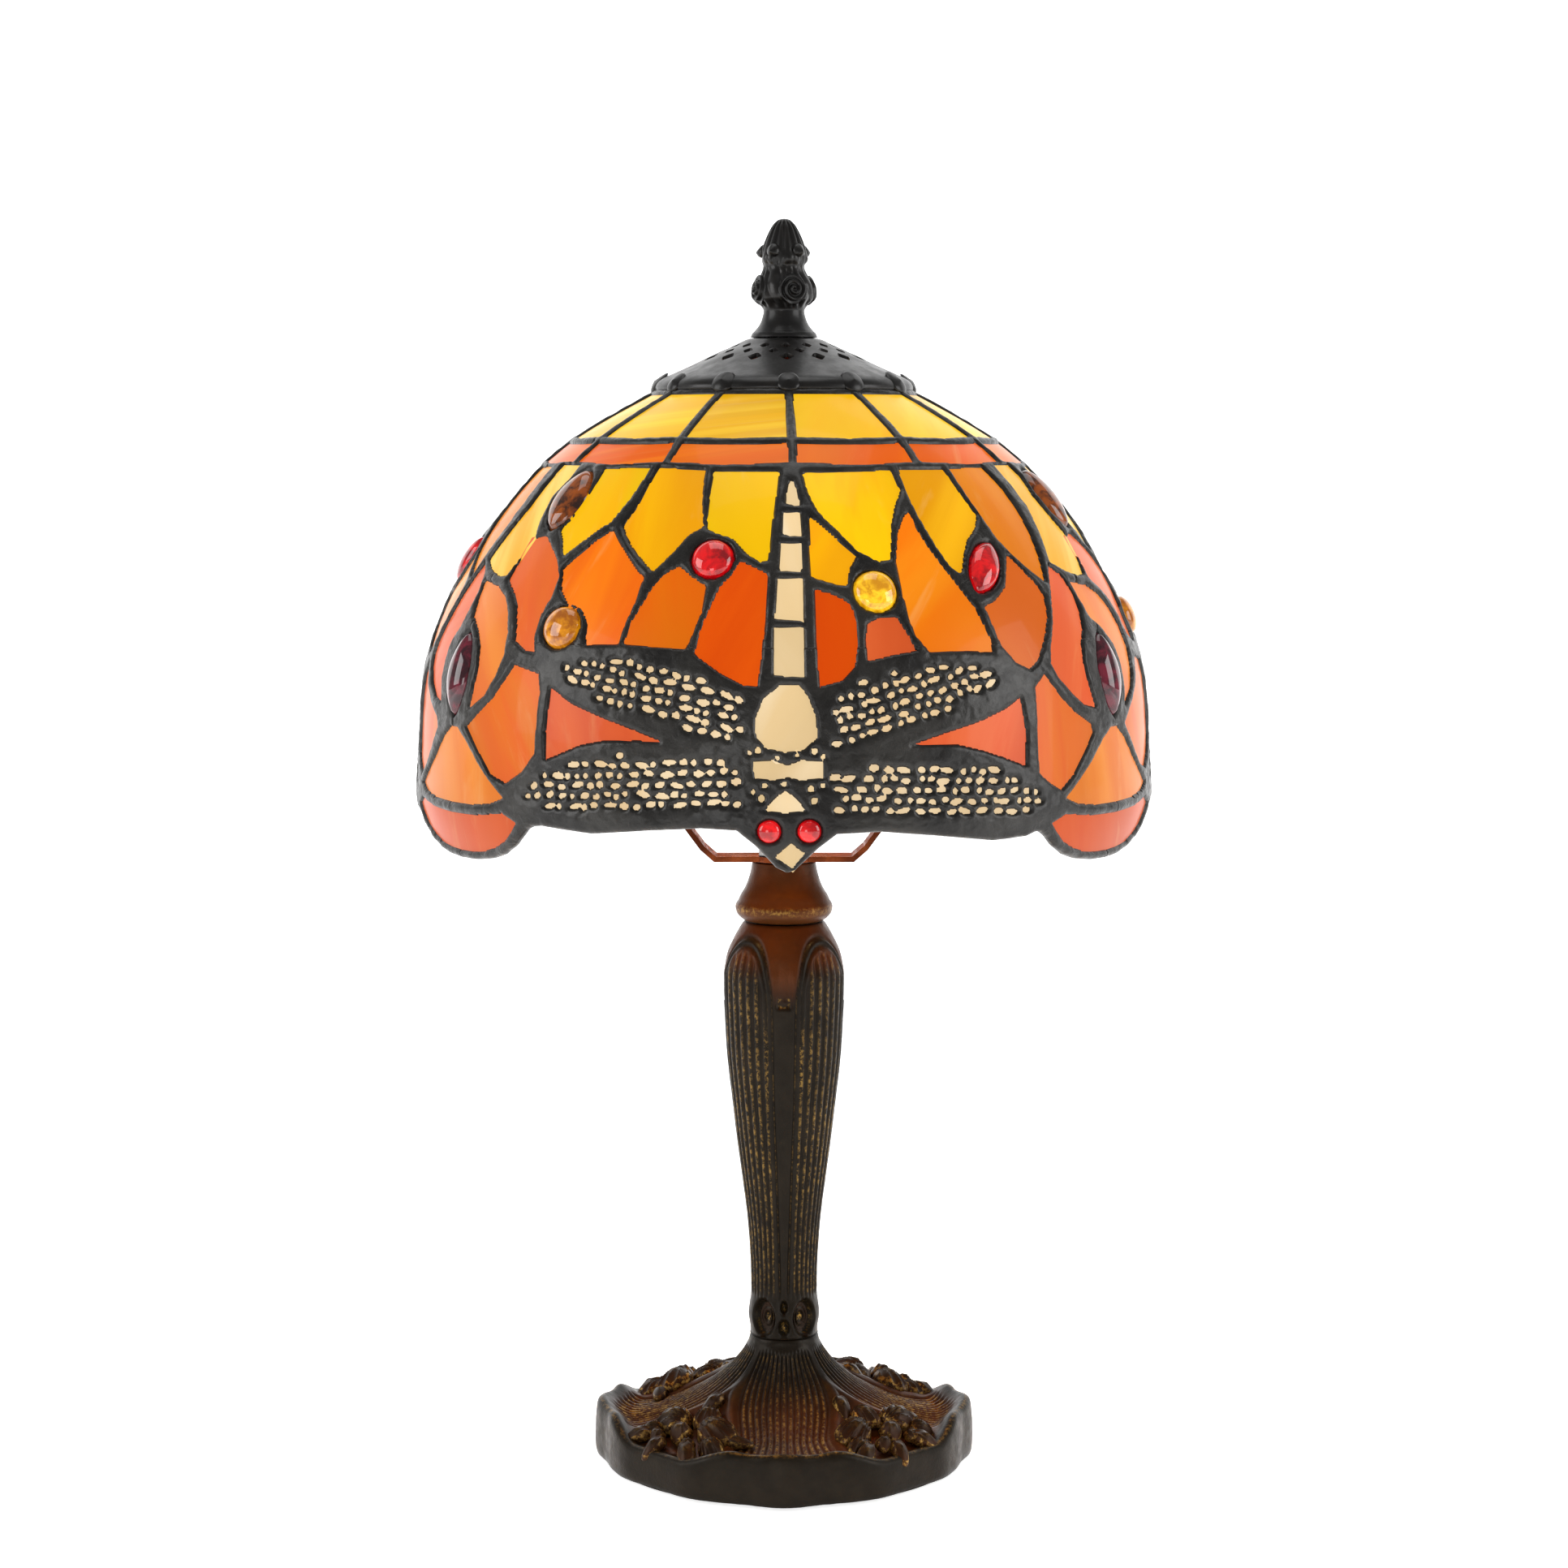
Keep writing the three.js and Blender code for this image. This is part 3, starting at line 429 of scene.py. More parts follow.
# The shade's lower edge over one third: straight under the wings, a nose at the middle, scallops between.
EDGE = [(-60, 152.6), (-55, 152.2), (-51, 151.2), (-47.4, 149.4), (-44.6, 146.8), (-42.6, 143.8),
    (-41, 141.2), (-39.6, 140.2), (-38, 139.9), (-29, 141), (-20, 139.3), (-12, 138.2), (-6.8, 138.6),
    (-4.2, 142.6), (-1.2, 148.8), (0.4, 150.3), (1.6, 149.6), (5, 143.4), (7.6, 139.6), (14, 139.2),
    (22, 140.8), (32, 143.2), (38, 142.8), (40, 141.7), (41, 142), (42.6, 143.8), (44.6, 146.8),
    (47.4, 149.4), (51, 151.2), (55, 152.2), (60, 152.6)]
WINGS = {
    "upper_left": [(-5.2, 103.5), (-9, 101.5), (-14, 96.4), (-20, 94), (-30, 94), (-35.4, 96.6),
        (-35.6, 100.4), (-31, 105), (-24, 109.6), (-16, 113.6), (-5.2, 117.6)],
    "lower_left": [(-5.4, 120), (-16, 119.4), (-24, 118.8), (-32, 121.4), (-38, 125.6), (-42.6, 129.8),
        (-42, 133.4), (-36, 136.6), (-24, 136.6), (-14, 135), (-5.4, 135)],
    "upper_right": [(6.6, 103), (12, 99.6), (18, 96.8), (28, 95.6), (33.4, 97.2), (34.8, 101), (31, 105.6),
        (24, 110), (16, 114.4), (10, 117.6), (6.4, 118.4)],
    "lower_right": [(6.6, 123), (14, 121), (24, 120.2), (31, 122), (36, 125.4), (41, 129.6), (43, 134),
        (38, 138), (30, 138.4), (20, 136.2), (12, 135), (6.6, 135)],
}


def unit_rows(vector):
    """Each row at a length of one."""
    return vector / np.maximum(np.linalg.norm(vector, axis=1), 1e-9)[:, None]


def grown(outline, by):
    """The outline moved outwards by so many millimetres."""
    points = np.array(outline, float)
    scale = np.stack([mm_per_degree(points[:, 1]), np.ones(len(points))], 1)
    before = unit_rows((points - np.roll(points, 1, 0)) * scale)
    after = unit_rows((np.roll(points, -1, 0) - points) * scale)
    side = unit_rows(np.stack([before[:, 1] + after[:, 1], -before[:, 0] - after[:, 0]], 1))
    miter = np.maximum(side[:, 0] * before[:, 1] - side[:, 1] * before[:, 0], 0.45)
    x, y = points.T
    turn = np.sign(np.sum(x * np.roll(y, -1) - np.roll(x, -1) * y))
    return points + side * (turn * by / miter)[:, None] / scale


def disc_outline(angle, down, wide, tall, turn=0.0, pointed=0.0, count=28):
    """A round, oval or pointed outline, sizes in mm, turned in degrees."""
    t = np.linspace(0, 2 * np.pi, count, endpoint=False)
    x, y = wide * np.cos(t) * np.abs(np.cos(t)) ** pointed, tall * np.sin(t)
    a = np.radians(turn)
    x, y = x * np.cos(a) - y * np.sin(a), x * np.sin(a) + y * np.cos(a)
    return np.stack([angle + x / mm_per_degree(down), down + y], 1)


def turned_by(outline, angle):
    return np.array(outline, float) + (angle, 0)


def flat_sheet(outline, cell=(3, 5)):
    """Points and triangles that fill an outline, cut on a grid so that the sheet can bend."""
    bm = bmesh.new()
    bm.faces.new([bm.verts.new((x, y, 0)) for x, y in outline])
    low, high = np.min(outline, 0), np.max(outline, 0)
    for axis in (0, 1):
        for line in np.arange(math.ceil(low[axis] / cell[axis]), high[axis] / cell[axis]) * cell[axis]:
            where, facing = [0, 0, 0], [0, 0, 0]
            where[axis], facing[axis] = line, 1
            everything = [*bm.verts, *bm.edges, *bm.faces]
            bmesh.ops.bisect_plane(bm, geom=everything, dist=1e-5, plane_co=where, plane_no=facing)
    bmesh.ops.triangulate(bm, faces=bm.faces[:])
    bm.verts.index_update()
    flat = np.array([v.co[:2] for v in bm.verts])
    faces = np.array([[v.index for v in f.verts] for f in bm.faces])
    bm.free()
    a, b, c = (flat[faces[:, i]] for i in range(3))
    area = (b[:, 0] - a[:, 0]) * (c[:, 1] - a[:, 1]) - (b[:, 1] - a[:, 1]) * (c[:, 0] - a[:, 0])
    faces[area > 0] = faces[area > 0][:, ::-1]
    return flat, faces[np.abs(area) > 1e-7]


def sheet_solid(flat, faces, outer, inner):
    """A pane of glass: the flat sheet bent on to the dome between two lifts."""
    count = len(flat)
    points = np.vstack([on_dome(*flat.T, outer), on_dome(*flat.T, inner)])
    edges = np.vstack([faces[:, [0, 1]], faces[:, [1, 2]], faces[:, [2, 0]]])
    there = {tuple(e) for e in edges}
    rim = [(a, b) for a, b in there if (b, a) not in there]
    skins = [*map(tuple, faces), *map(tuple, faces[:, ::-1] + count)]
    walls = [(b, a, a + count, b + count) for a, b in rim]
    return points, skins + walls


def set_attribute(mesh, name, kind, values):
    attribute = mesh.attributes.new(name, kind, "POINT")
    key = "color" if kind == "FLOAT_COLOR" else "vector" if kind == "FLOAT_VECTOR" else "value"
    attribute.data.foreach_set(key, np.asarray(values, np.float32).ravel())


def pane_group(name, panes, body, material, seed):
    """One piece that holds several panes, each with its own two tones and its own grain."""
    random = np.random.default_rng(seed)
    points, faces, tones, streaks, grains = [], [], [], [], []
    for outline, tone, streak in panes:
        flat, triangles = flat_sheet(grown(outline, 0.9))
        shape, skins = sheet_solid(flat, triangles, GLASS / 2, -GLASS / 2)
        start = sum(map(len, points))
        faces += [tuple(i + start for i in face) for face in skins]
        points.append(shape)
        shade = random.uniform(0.9, 1.06)
        tones.append(np.tile((*(c * shade for c in linear(tone)), 1), (len(shape), 1)))
        streaks.append(np.tile((*linear(streak), 1), (len(shape), 1)))
        lean = math.radians(random.uniform(-35, 35) + 90)
        u, v = flat[:, 0] * mm_per_degree(flat[:, 1]), flat[:, 1]
        along = (u * math.cos(lean) + v * math.sin(lean)) * 0.2
        across = v * math.cos(lean) - u * math.sin(lean)
        grain = np.stack([along, across, np.full(len(flat), random.uniform(0, 900))], 1) * MM
        grains.append(np.vstack([grain, grain]))
    piece = new_piece(name, np.vstack(points), faces, material, body)
    mark_sharp(piece, 50)
    set_attribute(piece.data, "tone", "FLOAT_COLOR", np.vstack(tones))
    set_attribute(piece.data, "streak_tone", "FLOAT_COLOR", np.vstack(streaks))
    set_attribute(piece.data, "grain", "FLOAT_VECTOR", np.vstack(grains))
    return piece


def mark_sharp(piece, degrees):
    piece.data.set_sharp_from_angle(angle=math.radians(degrees))


def cut_jewel(name, spec, turn, materials):
    """A domed jewel in its hole: rings from the girdle up to the crown, with a flatter back."""
    angle, down, wide, tall, lean, pointed, kind = spec
    around, rings = 40, 8
    points = [on_dome(angle + turn, down, crown_lift(1, wide))]
    for ring in range(1, rings + 1):
        share = ring / rings
        outline = disc_outline(angle + turn, down, wide * share, tall * share, lean, pointed, around)
        points.append(on_dome(*outline.T, crown_lift(math.sqrt(max(1 - share**2, 0)), wide)))
    outline = disc_outline(angle + turn, down, wide, tall, lean, pointed, around)
    points.append(on_dome(*outline.T, -GLASS / 2))
    points.append(on_dome(angle + turn, down, -GLASS / 2 - 1.2 * MM))
    points = np.vstack(points)
    faces = [(0, 1 + (i + 1) % around, 1 + i) for i in range(around)]
    for ring in range(rings):
        low, high = 1 + ring * around, 1 + (ring + 1) * around
        faces += [(low + i, low + (i + 1) % around, high + (i + 1) % around, high + i) for i in range(around)]
    last, centre = 1 + rings * around, len(points) - 1
    faces += [(last + i, last + (i + 1) % around, centre) for i in range(around)]
    return new_piece(name, points, outward(points, faces), materials[kind], "shade")


def crown_lift(share, wide):
    return GLASS / 2 - 0.3 * MM + share * min(wide, 5.2) * 0.62 * MM


def outward(points, faces):
    """The same faces, turned round if the closed shape they make is inside out."""
    volume = sum(np.dot(points[f[0]], np.cross(points[f[k]], points[f[k + 1]]))
                 for f in faces for k in range(1, len(f) - 1))
    return faces if volume > 0 else [tuple(reversed(f)) for f in faces]


# ---------------------------------------------------------------- geometry node kit
class Rule(Sums):
    """A geometry node tree with named inputs, written as short calls."""

    def __init__(self, name):
        self.group = bpy.data.node_groups.new(name, "GeometryNodeTree")
        self.inputs = {}
        self.source = self.group.nodes.new("NodeGroupInput")
        self.sink = self.group.nodes.new("NodeGroupOutput")
        self.group.interface.new_socket("Geometry", in_out="OUTPUT", socket_type="NodeSocketGeometry")
        self.geometry = self.input("Geometry", "NodeSocketGeometry")

    def input(self, name, kind, value=None):
        item = self.group.interface.new_socket(name, in_out="INPUT", socket_type=kind)
        if value is not None:
            item.default_value = value
        self.inputs[name] = item.identifier
        return next(s for s in self.source.outputs if s.identifier == item.identifier)

    def node(self, kind, feeds=(), **settings):
        made = self.group.nodes.new(kind if "Node" in kind else f"GeometryNode{kind}")
        for key, value in settings.items():
            setattr(made, key, value)
        for key, value in dict(feeds).items():
            socket = made.inputs[key]
            if isinstance(value, bpy.types.NodeSocket):
                self.group.links.new(value, socket)
            else:
                socket.default_value = value
        return made

    def out(self, kind, feeds=(), **settings):
        return self.node(kind, feeds, **settings).outputs[0]

    def size(self, name, value):
        return self.input(name, "NodeSocketFloat", value)

    def shape_of(self, name):
        """A named input for an object, and the mesh it brings."""
        return self.node("ObjectInfo", {"Object": self.input(name, "NodeSocketObject")}).outputs["Geometry"]

    def math(self, operation, a, b=0.0, clamp=False):
        return self.out("ShaderNodeMath", {0: a, 1: b}, operation=operation, use_clamp=clamp)

    def scaled(self, vector, factor):
        return self.out("ShaderNodeVectorMath", {0: vector, "Scale": factor}, operation="SCALE")

    def attribute(self, name, kind="FLOAT"):
        return self.out("InputNamedAttribute", {"Name": name}, data_type=kind)

    def stored(self, geometry, name, value, kind="FLOAT"):
        made = self.node("StoreNamedAttribute",
                         {"Geometry": geometry, "Name": name, "Value": value}, data_type=kind, domain="POINT")
        return made.outputs[0]

    def finish(self, geometry, material):
        flat = self.out("RealizeInstances", {"Geometry": geometry})
        made = self.out("SetMaterial", {"Geometry": flat, "Material": material})
        self.group.links.new(made, self.sink.inputs[0])

    def grow(self, name, mesh, values):
        """Runs the tree on a mesh and returns the plain mesh that comes out."""
        holder = bpy.data.objects.new(name, mesh)
        bpy.context.scene.collection.objects.link(holder)
        modifier = holder.modifiers.new("rule", "NODES")
        modifier.node_group = self.group
        for key, value in values.items():
            modifier[self.inputs[key]] = value
        graph = bpy.context.evaluated_depsgraph_get()
        result = bpy.data.meshes.new_from_object(holder.evaluated_get(graph), depsgraph=graph)
        holder.modifiers.clear()
        bpy.data.objects.remove(holder)
        result.name = name
        return result


def holder_of(name, points, edges=(), faces=()):
    """A scratch object for a tree to read; it is taken away afterwards."""
    mesh = bpy.data.meshes.new(name)
    mesh.from_pydata([tuple(p) for p in points], [tuple(e) for e in edges], [tuple(f) for f in faces])
    thing = bpy.data.objects.new(name, mesh)
    bpy.context.scene.collection.objects.link(thing)
    return thing


# ---------------------------------------------------------------- solder network
def solder_rule():
    """Solder over a sheet of the dome: swells from each pane's edge, and is cut away inside the panes."""
    rule = Rule("solder_between_panes")
    pane_mesh = rule.shape_of("Panes")
    outline_mesh = rule.shape_of("Pane Outlines")
    material = rule.input("Solder", "NodeSocketMaterial")
    half = rule.size("Glass Half", GLASS / 2)
    rise = rule.size("Bead Rise", 1.3 * MM)
    height = rule.size("Bead Height", LEAD)
    trim = rule.size("Trim", 0.6 * MM)
    wrinkle = rule.size("Wrinkle", 0.7 * MM)
    grain = rule.size("Wrinkle Scale", 260.0)
    away = rule.node("Proximity", {0: pane_mesh}, target_element="FACES").outputs["Distance"]
    inside = rule.node("Proximity", {0: outline_mesh}, target_element="EDGES").outputs["Distance"]
    is_out = rule.math("GREATER_THAN", away, 0.15 * MM)
    sign = rule.minus(rule.times(is_out, 2.0), 1.0)
    reach = rule.times(inside, sign)
    share = rule.math("DIVIDE", reach, rise, clamp=True)
    left = rule.minus(1.0, share)
    swell = rule.math("SQRT", rule.minus(1.0, rule.times(left, left)))
    place = rule.out("InputPosition")
    noise = rule.node("ShaderNodeTexNoise", {"Vector": place, "Scale": grain, "Detail": 3.0})
    lump = rule.times(rule.minus(noise.outputs[0], 0.5), wrinkle)
    bead = rule.times(rule.plus(height, lump), swell)
    dip = rule.times(rule.math("MINIMUM", reach, 0.0), 1.1)
    edge_share = rule.math("DIVIDE", rule.attribute("to_edge"), 1.7 * MM, clamp=True)
    edge_left = rule.minus(1.0, edge_share)
    edge_round = rule.math("SQRT", rule.minus(1.0, rule.times(edge_left, edge_left)))
    lift = rule.times(rule.plus(rule.plus(half, bead), dip), edge_round)
    normal = rule.out("InputNormal")
    sheet = rule.stored(rule.geometry, "shift", rule.scaled(normal, lift), "FLOAT_VECTOR")
    gone = rule.math("LESS_THAN", reach, rule.times(trim, -1.0))
    kept = rule.out("DeleteGeometry", {"Geometry": sheet, "Selection": gone}, domain="POINT")
    raised = rule.node("ExtrudeMesh", {"Mesh": kept, "Offset Scale": 0.0, "Individual": False},
                       mode="FACES")
    up_or_down = rule.minus(rule.times(raised.outputs["Top"], 2.0), 1.0)
    top = rule.stored(raised.outputs["Mesh"], "side", up_or_down)
    shift = rule.attribute("shift", "FLOAT_VECTOR")
    top = rule.out("SetPosition", {"Geometry": top, "Offset": rule.scaled(shift, rule.attribute("side"))})
    back = rule.out("FlipFaces", {"Mesh": kept})
    back = rule.out("SetPosition", {"Geometry": back, "Offset": rule.scaled(shift, -1.0)})
    both = rule.node("JoinGeometry")
    rule.group.links.new(top, both.inputs[0])
    rule.group.links.new(back, both.inputs[0])
    whole = rule.node("MergeByDistance", {"Geometry": both.outputs[0], "Distance": 0.002 * MM})
    rule.finish(whole.outputs[0], material)
    return rule


def dome_grid(name, angles, downs, edge=None):
    """A grid over part of the dome at mid-glass; below 'edge' the rows are drawn up to the shade's edge."""
    a, d = np.meshgrid(angles, downs, indexing="ij")
    to_edge = np.full(a.shape, 1.0)
    if edge is not None:
        foot = np.interp(a, *np.array(edge, float).T)
        turn_in = 136.0
        below = np.clip((d - turn_in) / (downs[-1] - turn_in), 0, None)
        d = np.where(d > turn_in, turn_in + below * (foot - turn_in), d)
        slope = np.abs(np.gradient(foot, axis=0) / (np.gradient(a, axis=0) * mm_per_degree(d)))
        to_edge = (foot - d) / np.sqrt(1 + slope**2) * MM
    columns, rows = a.shape
    index = np.arange(columns * rows).reshape(columns, rows)
    quads = np.stack([index[:-1, :-1], index[:-1, 1:], index[1:, 1:], index[1:, :-1]], -1).reshape(-1, 4)
    mesh = bpy.data.meshes.new(name)
    mesh.from_pydata(on_dome(a.ravel(), d.ravel()).tolist(), [], quads.tolist())
    set_attribute(mesh, "to_edge", "FLOAT", to_edge)
    return mesh


def wing_dots(outline, seed):
    """Oval holes in staggered rows along a wing: [angle, distance, half length, half width, turn]."""
    random = np.random.default_rng(seed)
    wing = np.array(outline, float)
    scale = np.array([mm_per_degree(wing[:, 1].mean()), 1.0])
    flat = wing * scale
    centre = flat.mean(0)
    spread = np.linalg.svd(flat - centre)[2]
    along, across = spread[0], spread[1]
    local = (flat - centre) @ np.stack([along, across], 1)
    dots = []
    row_gap, step = 2.6, 4.0
    rows = np.arange(local[:, 1].min() + 1.1, local[:, 1].max(), row_gap)
    for number, row in enumerate(rows):
        at = local[:, 0].min() + random.uniform(0.4, 1.2) + (number % 2) * step / 2
        while at < local[:, 0].max():
            length = random.choice([0.8, 1.1, 1.4, 1.9], p=[0.25, 0.3, 0.27, 0.18])
            width = random.uniform(0.68, 0.92)
            spot = np.array([at + random.uniform(-0.2, 0.2), row + random.uniform(-0.4, 0.4)])
            if clear_inside(spot, local, 0.35 + width):
                place = (centre + spot[0] * along + spot[1] * across) / scale
                lean = math.degrees(math.atan2(along[1], along[0])) + random.uniform(-16, 16)
                dots.append((place[0], place[1], length, width, lean))
            at += length * 2 + random.uniform(0.8, 1.5)
    return dots


def clear_inside(spot, outline, margin):
    """Whether a spot lies inside an outline and at least a margin from its edge."""
    a, b = outline, np.roll(outline, -1, 0)
    crosses = (a[:, 1] > spot[1]) != (b[:, 1] > spot[1])
    with np.errstate(divide="ignore", invalid="ignore"):
        x = (b[:, 0] - a[:, 0]) * (spot[1] - a[:, 1]) / (b[:, 1] - a[:, 1]) + a[:, 0]
    if np.sum(crosses & (spot[0] < x)) % 2 == 0:
        return False
    edge = b - a
    t = np.clip(np.sum((spot - a) * edge, 1) / np.sum(edge * edge, 1), 0, 1)
    return np.min(np.linalg.norm(a + edge * t[:, None] - spot, axis=1)) > margin


def all_holes(dots):
    """Every outline that shows glass on one third of the shade."""
    holes = [outline for _, _, outline in GROUND.values()] + CREAM
    holes += [disc_outline(a, d, r, r, count=10) for a, d, r in BODY_DOTS]
    holes += [disc_outline(*spec[:6]) for spec in JEWELS.values()]
    holes += [disc_outline(a, d, length, width, lean, 0, 12) for a, d, length, width, lean in dots]
    for column in range(-2, 2):
        start = COLUMN_START + column * COLUMN_ANGLE
        holes += [turned_by(CROWN, start), turned_by(BORDER, start)]
    return [np.array(hole, float) for hole in holes]


def build_solder(material):
    """The leading of one third of the shade, grown over its panes and turned to the other two."""
    dots = [dot for i, outline in enumerate(WINGS.values()) for dot in wing_dots(outline, 40 + i)]
    holes = all_holes(dots)
    near = [turned_by(hole, turn) for turn in (-120, 0, 120) for hole in holes]
    near = [hole for hole in near if hole[:, 0].max() > -63 and hole[:, 0].min() < 63]
    points, faces, rims, loops = [], [], [], []
    for hole in near:
        flat, triangles = flat_sheet(hole, cell=(2, 3))
        faces.append(triangles + sum(map(len, points)))
        points.append(on_dome(*flat.T))
        line = loop_points(hole)
        first = sum(map(len, rims))
        loops += [(first + i, first + (i + 1) % len(line)) for i in range(len(line))]
        rims.append(line)
    panes = holder_of("pane_faces", np.vstack(points), faces=np.vstack(faces))
    outlines = holder_of("pane_outlines", np.vstack(rims), edges=loops)
    rule = solder_rule()
    given = {"Panes": panes, "Pane Outlines": outlines, "Solder": material}
    upper = dome_grid("upper", np.arange(-60, 60.1, 0.5), np.arange(-3.9, 93.2, 0.8))
    lower = dome_grid("lower", np.arange(-60, 60.01, 0.26), np.arange(92, 150.5, 0.46), EDGE)
    top = rule.grow("upper", upper, given)
    foot = rule.grow("lower", lower, given)
    for number, turn in enumerate(SECTORS):
        for name, mesh in (("crown_and_field", top), ("wings_and_edge", foot)):
            copy = mesh.copy()
            copy.transform(turn_about_z(turn))
            piece = piece_from(copy, f"solder_{name}_{number + 1}", "shade")
            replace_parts(piece, "shade_lead")
    for scratch in (panes, outlines):
        bpy.data.objects.remove(scratch)


def loop_points(outline):
    """The outline on the dome, with points close enough together to follow its curve."""
    dense = []
    for a, b in zip(outline, np.roll(outline, -1, 0)):
        count = max(1, int(np.ceil(abs(b[0] - a[0]) / 2)), int(np.ceil(abs(b[1] - a[1]) / 4)))
        dense += [a + (b - a) * k / count for k in range(count)]
    return on_dome(*np.array(dense).T)


def turn_about_z(degrees):
    return Matrix.Rotation(math.radians(degrees), 4, "Z")


# ---------------------------------------------------------------- shade
def build_glass():
    """Every pane and jewel, in the places of the frame's own panes."""
    sheet = art_glass()
    jewels = {
        "red": jewel("ruby_glass", linear("7A0008"), linear("D80A10"), 0.75),
        "eye": jewel("eye_glass", linear("A00008"), linear("F01418"), 0.7),
        "amber": jewel("amber_jewel", linear("9A5200"), linear("E09010"), 0.7),
        "bright_amber": jewel("bright_amber_jewel", linear("C08000"), linear("FFC820"), 0.85),
        "brown": jewel("brown_jewel", linear("2A0E02"), linear("9A4A08"), 0.5),
        "plum": jewel("plum_jewel", linear("2E0A14"), linear("6E1A2C"), 0.6),
    }
    for column in range(12):
        start = COLUMN_START + column * COLUMN_ANGLE
        tone = CROWN_TONES[column % 3]
        piece = pane_group(f"crown_glass_{column + 1}", [(turned_by(CROWN, start), *tone)], "shade",
                           sheet, 100 + column)
        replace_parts(piece, f"crown_pane_{column + 1}")
        tone = BORDER_TONES[column % 3]
        piece = pane_group(f"border_glass_{column + 1}", [(turned_by(BORDER, start), *tone)], "shade",
                           sheet, 200 + column)
        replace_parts(piece, f"border_pane_{column + 1}")
    for number, turn in enumerate(SECTORS):
        ground = [(turned_by(outline, turn), tone, streak) for tone, streak, outline in GROUND.values()]
        piece = pane_group(f"ground_panes_{number + 1}", ground, "shade", sheet, 300)
        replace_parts(piece, f"ground_glass_{number + 1}")
        cream = [(turned_by(outline, turn), "FBD9A0", "FFE6BC") for outline in CREAM]
        cream += [(turned_by(disc_outline(a, d, r, r, count=10), turn), "FBD9A0", "FFE6BC")
                  for a, d, r in BODY_DOTS]
        piece = pane_group(f"cream_body_{number + 1}", cream, "shade", sheet, 400)
        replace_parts(piece, f"dragonfly_body_{number + 1}")
        wings = [(turned_by(grown(outline, 0.2), turn), "F4D2A0", "FCE2B8") for outline in WINGS.values()]
        piece = pane_group(f"wing_backing_{number + 1}", wings, "shade", sheet, 500)
        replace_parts(piece, f"left_wings_{number + 1}", f"right_wings_{number + 1}")
        for name, spec in JEWELS.items():
            cut_jewel(f"{name}_jewel_{number + 1}", spec, turn, jewels)


# ---------------------------------------------------------------- castings
def bell(x, width=1.0):
    return np.exp(-(x / width) ** 2)


def step(x, low, high):
    t = np.clip((x - low) / (high - low), 0, 1)
    return t * t * (3 - 2 * t)


def angle_from(theta, centre):
    """Degrees from a centre line, wrapped to -180..180."""
    return (theta - centre + 180) % 360 - 180


def even_run(points, count):
    """A smooth line through [radius, height] points in mm, cut into equal lengths."""
    line = catmull(points, 12)
    length = np.concatenate([[0], np.cumsum(np.linalg.norm(np.diff(line, axis=0), axis=1))])
    at = np.linspace(0, length[-1], count)
    return np.stack([np.interp(at, length, line[:, i]) for i in (0, 1)], 1)


def cast_turning(runs, columns, relief, capped=False):
    """A closed turning: lines of [radius, height] in mm swept round, the first with relief on it."""
    profile = np.vstack(runs)
    shaped = len(runs[0])
    along = np.gradient(runs[0], axis=0)
    along /= np.maximum(np.linalg.norm(along, axis=1), 1e-9)[:, None]
    theta = np.linspace(0, 360, columns, endpoint=False)
    r, z = np.meshgrid(profile[:, 0], theta)[0], np.meshgrid(profile[:, 1], theta)[0]
    angle = np.repeat(theta[:, None], len(profile), 1)
    given = relief(angle[:, :shaped], r[:, :shaped], z[:, :shaped])
    out, marks = given["out"], given["marks"]
    r[:, :shaped] += out * -along[:, 1] + given.get("wide", 0)
    z[:, :shaped] += out * along[:, 0] + given.get("up", 0)
    a = np.radians(angle)
    points = np.stack([r * np.sin(a), -r * np.cos(a), z], -1).reshape(-1, 3) * MM
    rows = len(profile)
    index = np.arange(columns * rows).reshape(columns, rows)
    beside = np.roll(index, -1, 0)
    last = rows if not capped else rows - 1
    below = np.roll(index, -1, 1)[:, :last], np.roll(beside, -1, 1)[:, :last]
    faces = np.stack([index[:, :last], below[0], below[1], beside[:, :last]], -1).reshape(-1, 4).tolist()
    if capped:
        points = np.vstack([points, (0, 0, profile[0, 1] * MM), (0, 0, profile[-1, 1] * MM)])
        top, foot = columns * rows, columns * rows + 1
        faces += [(index[i, 0], beside[i, 0], top) for i in range(columns)]
        faces += [(beside[i, -1], index[i, -1], foot) for i in range(columns)]
    filled = {}
    for key, value in marks.items():
        whole = np.zeros((columns, rows))
        whole[:, :shaped] = value
        filled[key] = np.concatenate([whole.ravel(), [0, 0]]) if capped else whole.ravel()
    mesh = bpy.data.meshes.new("casting")
    mesh.from_pydata(points.tolist(), [], outward(points, faces))
    for key, value in filled.items():
        set_attribute(mesh, key, "FLOAT", value)
    return mesh


